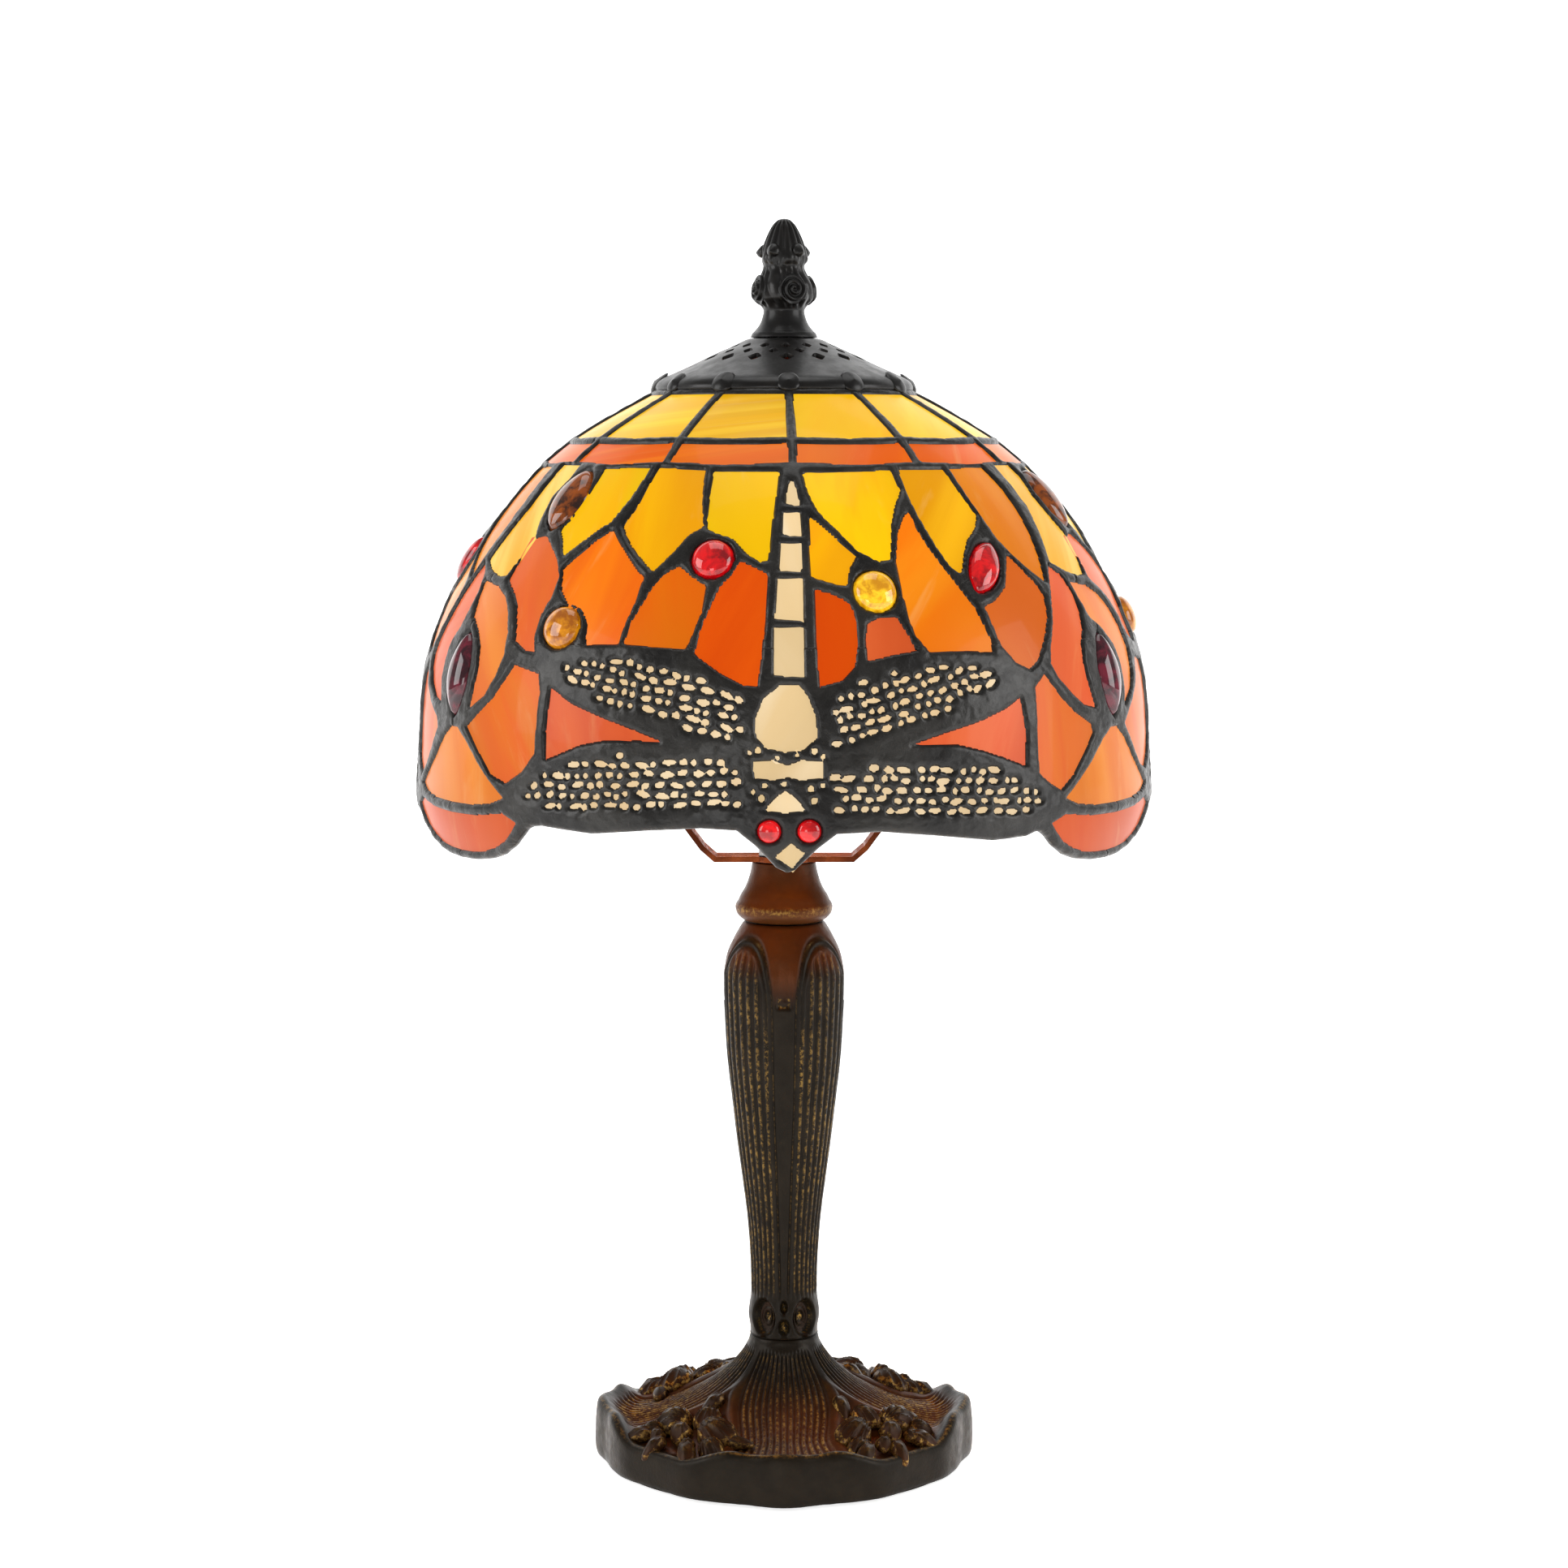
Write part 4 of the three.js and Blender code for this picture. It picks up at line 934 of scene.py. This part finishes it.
def flute_rule():
    """Grooves pressed in along the skin, from how far round each flute a point is and how deep it goes."""
    rule = Rule("flutes")
    material = rule.input("Metal", "NodeSocketMaterial")
    depth = rule.size("Depth", 0.5 * MM)
    sharp = rule.size("Sharpness", 2.0)
    ripple = rule.size("Hand Ripple", 0.08 * MM)
    turn = rule.times(rule.attribute("flute"), 2 * math.pi)
    wave = rule.times(rule.minus(1.0, rule.math("COSINE", turn)), 0.5)
    groove = rule.minus(1.0, rule.math("POWER", wave, rule.math("DIVIDE", 1.0, sharp)))
    groove = rule.times(groove, rule.attribute("fluted"))
    place = rule.out("InputPosition")
    noise = rule.out("ShaderNodeTexNoise", {"Vector": place, "Scale": 320.0, "Detail": 2.0})
    worn = rule.times(rule.minus(noise, 0.5), rule.times(ripple, 2.0))
    worn = rule.times(worn, rule.attribute("cast"))
    normal = rule.out("InputNormal")
    shift = rule.minus(worn, rule.times(groove, depth))
    moved = rule.out("SetPosition", {"Geometry": rule.geometry, "Offset": rule.scaled(normal, shift)})
    crest = rule.minus(rule.times(rule.attribute("fluted"), 0.62), groove)
    hollow = rule.plus(rule.attribute("raised"), crest)
    rule.finish(rule.stored(moved, "raised", hollow), material)
    return rule


def berry_rule():
    """A small part set on each point, turned to the skin and scaled by the point's own size."""
    rule = Rule("set_on_points")
    thing = rule.shape_of("Part")
    material = rule.input("Metal", "NodeSocketMaterial")
    size = rule.size("Size", 1.0)
    points = rule.out("MeshToPoints", {"Mesh": rule.geometry})
    facing = rule.node("FunctionNodeAlignRotationToVector",
                       {"Vector": rule.attribute("outwards", "FLOAT_VECTOR")}, axis="Z")
    spun = rule.node("FunctionNodeAlignRotationToVector",
                     {"Rotation": facing.outputs[0], "Vector": rule.attribute("upwards", "FLOAT_VECTOR")},
                     axis="Y", pivot_axis="Z")
    scale = rule.times(size, rule.attribute("scale"))
    placed = rule.node("InstanceOnPoints",
                       {"Points": points, "Instance": thing, "Rotation": spun.outputs[0], "Scale": scale})
    rule.finish(placed.outputs[0], material)
    return rule


def scatter(rule, name, part, spots, material, body):
    """Copies of one part at spots of [place, outwards, upwards, scale]."""
    mesh = bpy.data.meshes.new(name)
    mesh.from_pydata([tuple(spot[0]) for spot in spots], [], [])
    set_attribute(mesh, "outwards", "FLOAT_VECTOR", [tuple(spot[1]) for spot in spots])
    set_attribute(mesh, "upwards", "FLOAT_VECTOR", [tuple(spot[2]) for spot in spots])
    set_attribute(mesh, "scale", "FLOAT", [spot[3] for spot in spots])
    grown_mesh = rule.grow(name, mesh, {"Part": part, "Metal": material})
    return piece_from(grown_mesh, name, body)


def bronze(name, dark, hollow, edge, warmth=0.0):
    """Cast metal under a brown patina: coppery in its hollows, rubbed to brass along its ridges, and given
    the same coppery tone as painted warm lamp light where a part is marked for it.
    """
    f = Finish(name)
    f.shader.inputs["Specular IOR Level"].default_value = 0.14
    raised = f.held("raised")
    lamp_glow_and_copper = f.held("lamp_glow_and_copper")
    cloud = f.noise(38, 4, 0.6)
    speck = f.noise(900, 3, 0.7)
    base = f.mix(f.ramp(f.noise(120, 4), 0.35, 0.7), linear(dark), tuple(c * 1.5 for c in linear(dark)))
    # The coppery hollow tone is real patina in the hollows, plus painted warm lamp light from the mark read
    # above.
    low = f.plus(lamp_glow_and_copper, f.times(f.ramp(raised, -0.1, -0.7), f.plus(0.12, lamp_glow_and_copper)))
    low = f.times(f.plus(low, warmth), f.ramp(cloud, 0.25, 0.65, 0.25, 0.9), clamp=True)
    base = f.mix(low, base, linear(hollow))
    rub = f.times(f.ramp(raised, 0.2, 1.0), f.ramp(speck, 0.42, 0.66), clamp=True)
    rub = f.times(rub, f.ramp(f.noise(60, 3), 0.3, 0.62, 0.12, 0.75))
    base = f.mix(rub, base, linear(edge))
    f.put("Base Color", base)
    f.put("Metallic", f.plus(0.3, f.times(rub, 0.6)))
    f.put("Roughness", f.ramp(f.noise(300, 4), 0.3, 0.7, 0.28, 0.44))
    grain = f.plus(f.noise(1500, 3, 0.6), f.times(f.noise(260, 3), 1.2))
    f.bump(grain, 0.25, 0.00025)
    return f.material


# Column: four arched, fluted panels with a plain strip between them at the front, back and sides.
COLUMN_LINE = [(9.5, 35.85), (9.7, 38), (10.1, 41), (9.9, 44), (9.4, 47.5), (9.3, 51), (9.5, 58),
    (10.3, 69), (11.8, 80.8), (13.4, 92.5), (14.8, 104.2), (16.1, 115.9), (16.8, 127.5), (17.1, 134),
    (17.2, 139.1), (16.9, 141.9), (15.6, 146.3), (13.5, 150.7), (11.9, 153.4), (11.2, 154.2)]
NECK_LINE = [(11.2, 154.7), (12.3, 155.5), (13.3, 156.7), (13.7, 158.3), (13.5, 159.3), (12.9, 160.3),
    (12.2, 161.8), (11.1, 163.6), (10.2, 165.7), (9.5, 168), (9.1, 170), (8.9, 171.1)]
FINIAL_LINE = [(4.8, 317.4), (8.9, 317.4), (9.15, 317.8), (8.8, 318.6), (8.2, 319.2), (7.1, 320.5),
    (6.3, 322), (5.7, 324.3), (5.9, 325.4), (6.9, 326.6), (8.0, 327.9), (8.3, 329.5), (8.0, 331.7),
    (7.3, 333.3), (6.3, 335), (5.5, 336.8), (5.5, 338), (6.0, 339.6), (6.0, 341.2), (5.4, 343),
    (4.4, 345.5), (3.2, 348), (1.7, 349.6), (0.35, 350.0)]
BASE_LINE = [(6.2, 35.75), (9.3, 35.7), (10.2, 33.4), (11.9, 30.4), (14.6, 27), (18.4, 23.4), (23.6, 19.5),
    (30, 15.9), (36.5, 13.3), (42.5, 12.1), (46, 12.6), (48.4, 13.9), (50, 14.9), (51.3, 14.8),
    (52.2, 13.6), (52.6, 10.5), (52.8, 6), (52.7, 2.6), (52.3, 1.1)]
CAP_LINE = [(4.0, 317.2), (9.6, 317.1), (13.7, 315.3), (19.8, 312.6), (25.4, 309.9), (31.0, 307.4),
    (33.6, 306.2), (35.2, 305.0), (35.9, 303.6), (35.6, 302.6), (34.9, 302.7)]


def eye_boss(x, y, size):
    """Rings round an oval eye: how proud it stands and how worn it is, x and y in mm from its middle."""
    d = np.hypot(x, y * 0.93) / size
    proud = 3.1 * step(d, 1.05, 0.8) - 1.0 * bell(d - 0.74, 0.08) - 0.9 * bell(d - 0.48, 0.07)
    proud += 0.5 * bell(np.hypot(x * 0.75, y) / size, 0.24)
    worn = bell(np.hypot(x * 0.7, y) / size, 0.26) + 0.5 * bell(d - 0.58, 0.08) + 0.25 * bell(d - 0.9, 0.08)
    return proud, worn - 1.1 * bell(d - 0.72, 0.1) - 0.8 * bell(d - 0.46, 0.08)


def column_relief(theta, r, z):
    side = np.abs(angle_from(theta, 0) % 90 - 45)  # 0 in a panel's middle, 45 in a strip's
    across = np.radians(side) * r
    from_strip = np.radians(45 - side) * r
    strip = np.interp(z, [48, 62, 80, 105, 133, 154], [0.6, 0.9, 1.5, 2.4, 2.9, 2.9])
    wide = np.radians(45) * 16.6 - 2.6
    inside = np.where(z < 134, from_strip - strip,
                      (1 - np.sqrt((across / wide)**2 + (np.maximum(z - 134, 0) / 18.0)**2)) * wide)
    ridge = 0.5 * bell(inside - 0.6, 0.34) + 0.4 * bell(inside - 1.9, 0.3) * step(z, 100, 130)
    fluted = step(inside, 1.4, 2.0) * step(inside, 2.6 * step(z, 112, 134), 1.4 + 2.0 * step(z, 112, 134))
    along = step(z, 46.5, 50) * step(z, 154, 150)
    out = ridge * along - 0.3 * step(inside, 0.2, 1.3) * along
    boss_x, boss_z = from_strip, z - 133.4
    square = step(np.maximum(boss_x / 1.9, np.abs(boss_z) / 1.5), 1.12, 0.88)
    out = out + 0.9 * square - 0.45 * square * bell(np.hypot(boss_x, boss_z) / 0.9)
    out = out + 0.7 * step(z, 146, 136) * step(z, 131.6, 133) * step(boss_x, 3.2, 1.2) * (1 - square)
    from_front = 90 - np.abs(90 - np.abs(angle_from(theta, 0)))
    eye, eye_worn = eye_boss(np.radians(from_front - 38) * 12, z - 41.7, 5.0)
    bead = np.hypot(from_strip / 1.8, (z - 39.0) / 2.5)
    bud = np.hypot(from_strip / 1.2, (z - 45.1) / 1.9)
    out = out + eye + 2.2 * np.sqrt(np.clip(1 - bead**2, 0, 1)) + 1.9 * np.sqrt(np.clip(1 - bud**2, 0, 1))
    raised = 2.2 * eye_worn + 2.0 * bell(bead, 0.6) + 2.0 * bell(bud, 0.6) + ridge * 0.9 * along
    raised = raised + 0.8 * square * bell(np.hypot(boss_x, boss_z) - 1.6, 0.5)
    # Painted warm lamp light on the column's top, where the bulb's light falls below the shade.
    lamp_glow_and_copper = 0.55 * step(z, 131, 143) * step(inside, 1.0, -0.6)
    lamp_glow_and_copper = lamp_glow_and_copper + 0.5 * bell(z - 146.5, 4.0) * step(inside, 1.5, 3.4)
    flutes = 10
    return {"out": out, "marks": {"flute": (45 - side) / 90 * flutes + 0.5, "fluted": fluted * along,
                                  "raised": raised, "lamp_glow_and_copper": lamp_glow_and_copper, "cast": np.full(z.shape, 1.0)}}


def base_relief(theta, r, z):
    side = angle_from(theta, 0)
    lobe = (side + 45) % 90 - 45  # 0 in a lobe's middle, 45 between lobes
    off = np.abs(lobe)
    top = z > 11.4
    half = 45 - 23 * step(r, 13, 37)
    u = off / half
    between = step(off, 15, 35) * step(r, 24, 40)
    tall = 1.6 * np.abs(np.sin(np.radians(side)))
    rim = step(r, 43, 49)
    wall = np.clip((z - 1) / 14, 0, 1)
    up = wall * rim * (tall * (1 - between) - 3.8 * between) - between * (1 - rim) * step(r, 22, 36) * 1.2
    up = up + wall * rim * 0.5 * bell(off, 5) - wall * rim * 0.5 * bell(off - 11, 5)
    arm = bell(u - 1.08, 0.16) * step(r, 14, 22) * step(r, 48, 40)
    on_top = np.where(top & (r < 50), 1.0, 0.0)
    out = 1.5 * arm * on_top
    wide = rim * (0.9 * np.cos(np.radians(4 * side)) + 0.9 * bell(off, 7) - 0.8 * bell(off - 13, 6)
                  + 0.7 * bell(off - 31, 7) - 0.6)
    fluted = step(u, 0.97, 0.85) * step(r, 10.3, 11.4) * step(r, 48.5, 45.5) * on_top
    stem_lines = step(u, 1.2, 1.3) * step(r, 12, 16) * step(r, 26, 20) * on_top * 0.6
    worn = 0.6 * bell(r - 51, 1.0) * top + 0.3 * arm * on_top
    # Painted warm lamp light in the base's dish, stronger between the lobes.
    lamp_glow_and_copper = 0.85 * step(r, 14, 30) * step(r, 50, 44) * on_top * (0.55 + 0.45 * between)
    return {"out": out, "up": up, "wide": wide,
            "marks": {"flute": u * 7.5 + 0.5,
                      "fluted": np.maximum(fluted, stem_lines) * (0.8 + 0.7 * step(r, 16, 40)),
                      "raised": worn, "lamp_glow_and_copper": lamp_glow_and_copper, "cast": np.full(z.shape, 1.0)}}


def finial_relief(theta, r, z):
    boss = angle_from(theta, 20)
    boss = (boss + 45) % 90 - 45
    x, y = np.radians(boss) * 8.2, z - 330.6
    d, turn = np.hypot(x, y), np.arctan2(y, x)
    in_boss = step(d, 4.6, 3.7)
    coil = 0.5 * np.cos(2 * np.pi * d / 1.55 - turn) * in_boss
    coil = coil + 0.8 * in_boss * np.sqrt(np.clip(1 - (d / 5)**2, 0, 1))
    ball = step(z, 325.3, 326.6) * step(z, 337, 335)
    swirl = theta / 360 * 16 + (z - 326) / 13 + 0.25 * np.sin(np.radians(boss) * 4)
    leaves = np.abs(np.sin(np.radians(theta * 2.5 + 40)))
    cup = bell(z - 337.4 - 1.4 * leaves, 1.5)
    bud = step(z, 339.5, 342)
    out = ball * (coil - 0.35 * in_boss) + 0.9 * cup * (0.4 + 0.6 * leaves) + 0.25 * bud * bell(z - 344, 4)
    flute = np.where(z > 337, theta / 360 * 15, swirl)
    fluted = ball * (1 - in_boss) * 0.9 + bud * 0.8 * step(z, 349.9, 348.6) + 0.4 * cup
    raised = 0.4 * ball * in_boss * np.cos(2 * np.pi * d / 1.55 - turn) + 0.5 * bell(r - 9.1, 0.3)
    return {"out": out, "marks": {"flute": flute, "fluted": fluted, "raised": raised,
                                  "lamp_glow_and_copper": np.zeros(z.shape), "cast": np.full(z.shape, 0.3)}}


def plain_relief(lamp_glow_and_copper):
    # A nonzero mark paints warm lamp light evenly over the whole turning.
    def relief(theta, r, z):
        zero = np.zeros(z.shape)
        return {"out": zero, "marks": {"flute": zero, "fluted": zero, "raised": 0.75 * bell(r - 13.8, 0.5),
                                       "lamp_glow_and_copper": zero + lamp_glow_and_copper, "cast": zero + 0.5}}
    return relief


ROD_BORE = 5.3


def cast(flutes, name, node, lines, columns, relief, values, body="root",
         capped=False):
    """A turning with its relief and flutes, in the place of one of the frame's castings."""
    mesh = flutes.grow(name, cast_turning(lines, columns, relief, capped), values)
    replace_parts(piece_from(mesh, name, body), node)


def build_stand(flutes, iron):
    """The column, base and neck, each a turning with its relief, and the flowers on the base."""
    metal = bronze("dark_bronze", "1A150E", "70380F", "C69C50")
    warm_metal = bronze("copper_bronze", "241B13", "6E3A10", "C0964A", 0.1)
    bore = ROD_BORE
    inner = np.array([(10.8, 154.28), (8, 154.3), (bore, 154.3), (bore, 120), (bore, 75), (bore, 35.95),
                      (7.5, 35.92), (9.7, 35.92)])
    cast(flutes, "fluted_column", "column_casting", [even_run(COLUMN_LINE, 205), inner], 408, column_relief,
         {"Metal": metal, "Depth": 0.6 * MM})
    inner = np.array([(51, 1.0), (49, 1.0), (48.6, 2.4), (47.2, 2.4), (47, 6.8), (41.6, 7.6), (14, 13),
                      (12, 16), (5.4, 16), (bore, 25), (bore, 34), (5.6, 35.4)])
    cast(flutes, "lobed_base", "base_casting", [even_run(BASE_LINE, 190), inner], 480, base_relief,
         {"Metal": metal, "Depth": 0.75 * MM})
    inner = np.array([(8.0, 171.2), (bore, 171.2), (bore, 160), (bore, 154.6), (8.0, 154.6), (10.8, 154.6)])
    # plain_relief(0.5) paints warm lamp light evenly over the whole neck.
    cast(flutes, "neck_cover", "neck_bell", [even_run(NECK_LINE, 90), inner], 144, plain_relief(0.5),
         {"Metal": warm_metal})
    build_flowers(metal, iron)


def shell_petal(name, length, width, height, ribs):
    """A shell-shaped petal, ribbed from its foot to its lip, lying on its back."""
    around, rings = 90, 12
    t = np.linspace(0, 2 * np.pi, around, endpoint=False)
    points = [(0, 0, height)]
    for ring in range(1, rings + 1):
        share = ring / rings
        x = width * share * np.cos(t)
        y = length * share * np.sin(t) * (1 + 0.12 * np.sin(t))
        fan = np.arctan2(x, y + 1.25 * length)
        rib = np.abs(np.cos(fan * ribs)) ** 0.7
        dome = height * np.sqrt(np.clip(1 - share**2, 0, 1)) * (1 - 0.25 * y / length)
        points += list(zip(x, y, dome - 0.6 * height * rib * share * (1 - 0.5 * share)))
    points += list(zip(width * 0.9 * np.cos(t), length * 0.9 * np.sin(t), np.full(around, -0.5 * height)))
    points.append((0, 0, -0.5 * height))
    points = np.array(points) * MM
    faces = [(0, 1 + i, 1 + (i + 1) % around) for i in range(around)]
    for ring in range(rings):
        low, high = 1 + ring * around, 1 + (ring + 1) * around
        faces += [(low + i, high + i, high + (i + 1) % around, low + (i + 1) % around) for i in range(around)]
    last, centre = 1 + rings * around, len(points) - 1
    faces += [(last + i, centre, last + (i + 1) % around) for i in range(around)]
    part = holder_of(name, points, faces=outward(points, faces))
    worn = np.clip(points[:, 2] / (height * MM), 0, 1) * 0.75 - 0.25
    edge = np.zeros(len(points))
    edge[1 + (rings - 3) * around:1 + rings * around] = 1.1
    set_attribute(part.data, "raised", "FLOAT", np.maximum(worn, edge))
    # More of the coppery tone towards each part's foot.
    set_attribute(part.data, "lamp_glow_and_copper", "FLOAT", 0.3 - 0.25 * np.clip(points[:, 2] / (height * MM), 0, 1))
    return part


BERRY_RING = (5, -30, 6.1, 340.9)  # how many, first angle, radius and height in mm
BLOB_RING = (12, COLUMN_START, 34.9, 304.6)


def places_round(count, first, radius, height):
    """Evenly spaced places round the axis, each with the way out from it."""
    for i in range(count):
        a = math.radians(first + 360 / count * i)
        out = Vector((math.sin(a), -math.cos(a), 0))
        yield out * radius * MM + Vector((0, 0, height * MM)), out


# One cluster of flowers: [out from the axis, degrees off its middle, height, heading, tilt, size].
PETALS = [(36.6, 14.0, 15.4, 78, 22, 1.12), (36.2, -12.5, 15.2, -66, 24, 1.05),
    (43.0, 17.0, 12.8, 40, 30, 0.78), (42.6, -15.5, 12.6, -36, 30, 0.76), (31.0, 1.5, 16.9, 14, 14, 0.85)]
LEAVES = [(47.4, 10.5, 11.9, 30, 30, 1.15), (48.0, -3.5, 11.6, -8, 34, 1.0),
    (46.6, -16.0, 12.0, -38, 28, 1.15), (38.0, 25.5, 13.8, 100, 10, 0.95), (25.4, -6.0, 19.2, -12, 34, 1.1)]
BUDS = [(41.0, 1.0, 14.8, 0, 34, 1.15), (44.6, -7.0, 13.4, -15, 34, 0.82), (44.2, 8.0, 13.2, 20, 34, 0.76)]


def cluster_spots(spots):
    """Places round the base for one kind of part, repeated between each pair of lobes."""
    placed = []
    for middle in (45, 135, 225, 315):
        for out, off, height, heading, tilt, size in spots:
            a = math.radians(middle + off)
            radial = Vector((math.sin(a), -math.cos(a), 0))
            beside = Vector((math.cos(a), math.sin(a), 0))
            h, t = math.radians(heading), math.radians(tilt)
            ahead = radial * math.cos(h) + beside * math.sin(h)
            up = Vector((0, 0, math.cos(t))) + radial * math.sin(t)
            placed.append((radial * out * MM + Vector((0, 0, height * MM)), up, ahead, size))
    return placed


def build_flowers(metal, iron):
    """Flowers between the base's lobes, berries on the finial and solder blobs round the cap."""
    rule = berry_rule()
    petal = shell_petal("petal", 5.6, 4.7, 4.0, 13)
    leaf = shell_petal("leaf", 4.4, 2.3, 2.4, 5)
    bud = shell_petal("bud", 2.9, 2.8, 3.0, 4)
    for name, part, spots in (("ribbed_petals", petal, PETALS), ("rim_leaves", leaf, LEAVES),
                              ("flower_buds", bud, BUDS)):
        scatter(rule, name, part, cluster_spots(spots), metal, "root")
    berry = shell_petal("berry", 1.95, 1.95, 1.9, 0)
    spots = [(place, out, Vector((0, 0, 1)), 1.0) for place, out in places_round(*BERRY_RING)]
    scatter(rule, "finial_berries", berry, spots, iron, "finial")
    blob = shell_petal("solder_blob", 3.9, 3.9, 1.5, 0)
    spots = [(place, out * 0.8 + Vector((0, 0, 0.6)), Vector((0, 0, 1)), 0.86 + 0.14 * ((i * 7) % 5) / 4)
             for i, (place, out) in enumerate(places_round(*BLOB_RING))]
    scatter(rule, "solder_blobs", blob, spots, iron, "shade")
    for part in (petal, leaf, bud, berry, blob):
        bpy.data.objects.remove(part)


def black_iron():
    """Near-black satin paint over sheet and casting, rubbed grey in a few places."""
    f = Finish("black_iron", metallic=0.15, coat=0.3, coat_roughness=0.2)
    f.shader.inputs["Specular IOR Level"].default_value = 0.25
    worn = f.times(f.ramp(f.noise(160, 4), 0.5, 0.75), 0.5)
    f.put("Base Color", f.mix(worn, linear("0E0C0A"), linear("201B16")))
    f.put("Roughness", f.ramp(f.noise(240, 4), 0.3, 0.7, 0.34, 0.5))
    f.bump(f.noise(900, 3, 0.6), 0.12, 0.0003)
    return f.material


VENT_ROWS = ((14.2, 1.45), (17.6, 1.5), (21.3, 2.05))  # radius and half width in mm
VENTS_IN_ROW, VENT_HEIGHT = 15, 312


def vent_rule():
    """Holes of one shape cut right through a cap, one on each point."""
    rule = Rule("vent_holes")
    points = rule.shape_of("Hole Places")
    shape = rule.shape_of("Hole Shape")
    material = rule.input("Metal", "NodeSocketMaterial")
    facing = rule.out("FunctionNodeAlignRotationToVector",
                      {"Vector": rule.attribute("outwards", "FLOAT_VECTOR")}, axis="Y")
    placed = rule.out("InstanceOnPoints", {"Points": points, "Instance": shape, "Rotation": facing,
                                                        "Scale": rule.attribute("scale")})
    cutters = rule.out("RealizeInstances", {"Geometry": placed})
    cut = rule.out("MeshBoolean", {"Mesh 1": rule.geometry, "Mesh 2": cutters},
                   operation="DIFFERENCE", solver="EXACT")
    rule.finish(cut, material)
    return rule


def build_cap_and_finial(flutes, iron):
    """The spun cap with its three rows of vents, and the cast finial over it."""
    under = np.array([(34.3, 303.4), (33.9, 304.4), (32.6, 305.4), (30.6, 306.3), (25, 308.8), (19.4, 311.5),
                      (13.3, 314.2), (9.4, 316.0), (3.3, 316.1), (3.25, 317.15)])
    sheet = cast_turning([even_run(CAP_LINE, 60), under], 180, plain_relief(0))
    hole_line = [(1, 0), (0.6, 0.52), (0.14, 0.96), (-0.14, 0.96), (-0.6, 0.52), (-1, 0), (-0.6, -0.52),
                 (-0.14, -0.96), (0.14, -0.96), (0.6, -0.52)]
    count = len(hole_line)
    points = [(x * MM, y * MM, z * MM) for z in (-7, 7) for x, y in hole_line]
    faces = [tuple(range(count))[::-1], tuple(range(count, 2 * count))]
    faces += [(i, (i + 1) % count, count + (i + 1) % count, count + i) for i in range(count)]
    hole = holder_of("hole_shape", points, faces=faces)
    places, outwards, sizes = [], [], []
    for row, (radius, half) in enumerate(VENT_ROWS):
        for place, out in places_round(VENTS_IN_ROW, COLUMN_START + 12 * (row % 2), radius, VENT_HEIGHT):
            places.append(place)
            outwards.append(tuple(out))
            sizes.append(half)
    spots = holder_of("hole_places", places)
    set_attribute(spots.data, "outwards", "FLOAT_VECTOR", outwards)
    set_attribute(spots.data, "scale", "FLOAT", sizes)
    mesh = vent_rule().grow("cap", sheet, {"Hole Places": spots, "Hole Shape": hole, "Metal": iron})
    cap = piece_from(mesh, "vented_cap", "shade")
    mark_sharp(cap, 40)
    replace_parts(cap, "heat_cap")
    for scratch in (hole, spots):
        bpy.data.objects.remove(scratch)
    inner = np.array([(4.65, 318.5), (4.6, 326), (4.5, 328.6)])
    cast(flutes, "cast_finial", "finial", [even_run(FINIAL_LINE[::-1], 190), inner], 240, finial_relief,
         {"Metal": iron, "Depth": 0.55 * MM}, "finial", capped=True)


# ---------------------------------------------------------------- fittings kept from the frame
def metal_finish(name, low, high, roughness):
    """Drawn or rolled metal: fine streaks across its height and a little tarnish."""
    f = Finish(name, metallic=0.9)
    brushed = f.noise(1.0, 3, 0.6, place=f.stretch((120, 120, 900)))
    tarnish = f.ramp(f.noise(90, 4, 0.6), 0.35, 0.7)
    f.put("Base Color", f.mix(tarnish, linear(low), linear(high)))
    f.put("Roughness", f.ramp(brushed, 0.3, 0.7, roughness - 0.08, roughness + 0.12))
    f.bump(brushed, 0.1, 0.0002)
    return f.material


def speckled(name, low, high, roughness, grain, depth, glow=None):
    """Felt, porcelain, moulded plastic or coated glass: a fine grain over two near tones."""
    f = Finish(name, roughness=roughness)
    spread = f.noise(grain, 4, 0.6)
    colour = f.mix(f.ramp(spread, 0.35, 0.65), linear(low), linear(high))
    f.put("Base Color", colour)
    f.bump(spread, 0.3, depth)
    if glow:
        f.put("Emission Color", colour)
        f.put("Emission Strength", glow)
    return f.material


def dress_fittings():
    """Finishes for the fittings that keep the frame's own shapes."""
    finishes = {
        metal_finish("copper_strap", "4A1E0A", "8A4420", 0.3): ["harp"],
        metal_finish("zinc_steel", "77797A", "A6A8A6", 0.34): ["tie_rod", "rod_nut", "harp_nut",
                                                               "harp_stud", "stud_nut"],
        metal_finish("turned_brass", "8A6424", "CDA454", 0.28): ["seat_bush", "finial_bush", "screw_shell",
                                                                 "centre_contact", "bulb_cap"],
        speckled("pressed_felt", "12200F", "24361E", 0.95, 1400, 0.0008): ["felt_pad"],
        speckled("rough_iron", "2A2926", "45423D", 0.75, 500, 0.0006): ["base_weight"],
        speckled("black_bakelite", "0D0C0B", "1A1816", 0.3, 700, 0.0001): ["holder_cap", "holder_shell",
                                                                            "cord_grommet"],
        speckled("glazed_porcelain", "DCD6C8", "ECE7DC", 0.2, 200, 0.0001): ["holder_core"],
        speckled("opal_bulb", "FFCE86", "FFDCA0", 0.25, 60, 0.0001, 35.0): ["bulb_glass"],
    }
    for material, names in finishes.items():
        for name in names:
            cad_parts[name].material_slots[0].material = material


build_glass()
build_solder(solder())
fluting = flute_rule()
painted_iron = black_iron()
build_stand(fluting, painted_iron)
build_cap_and_finial(fluting, painted_iron)
dress_fittings()
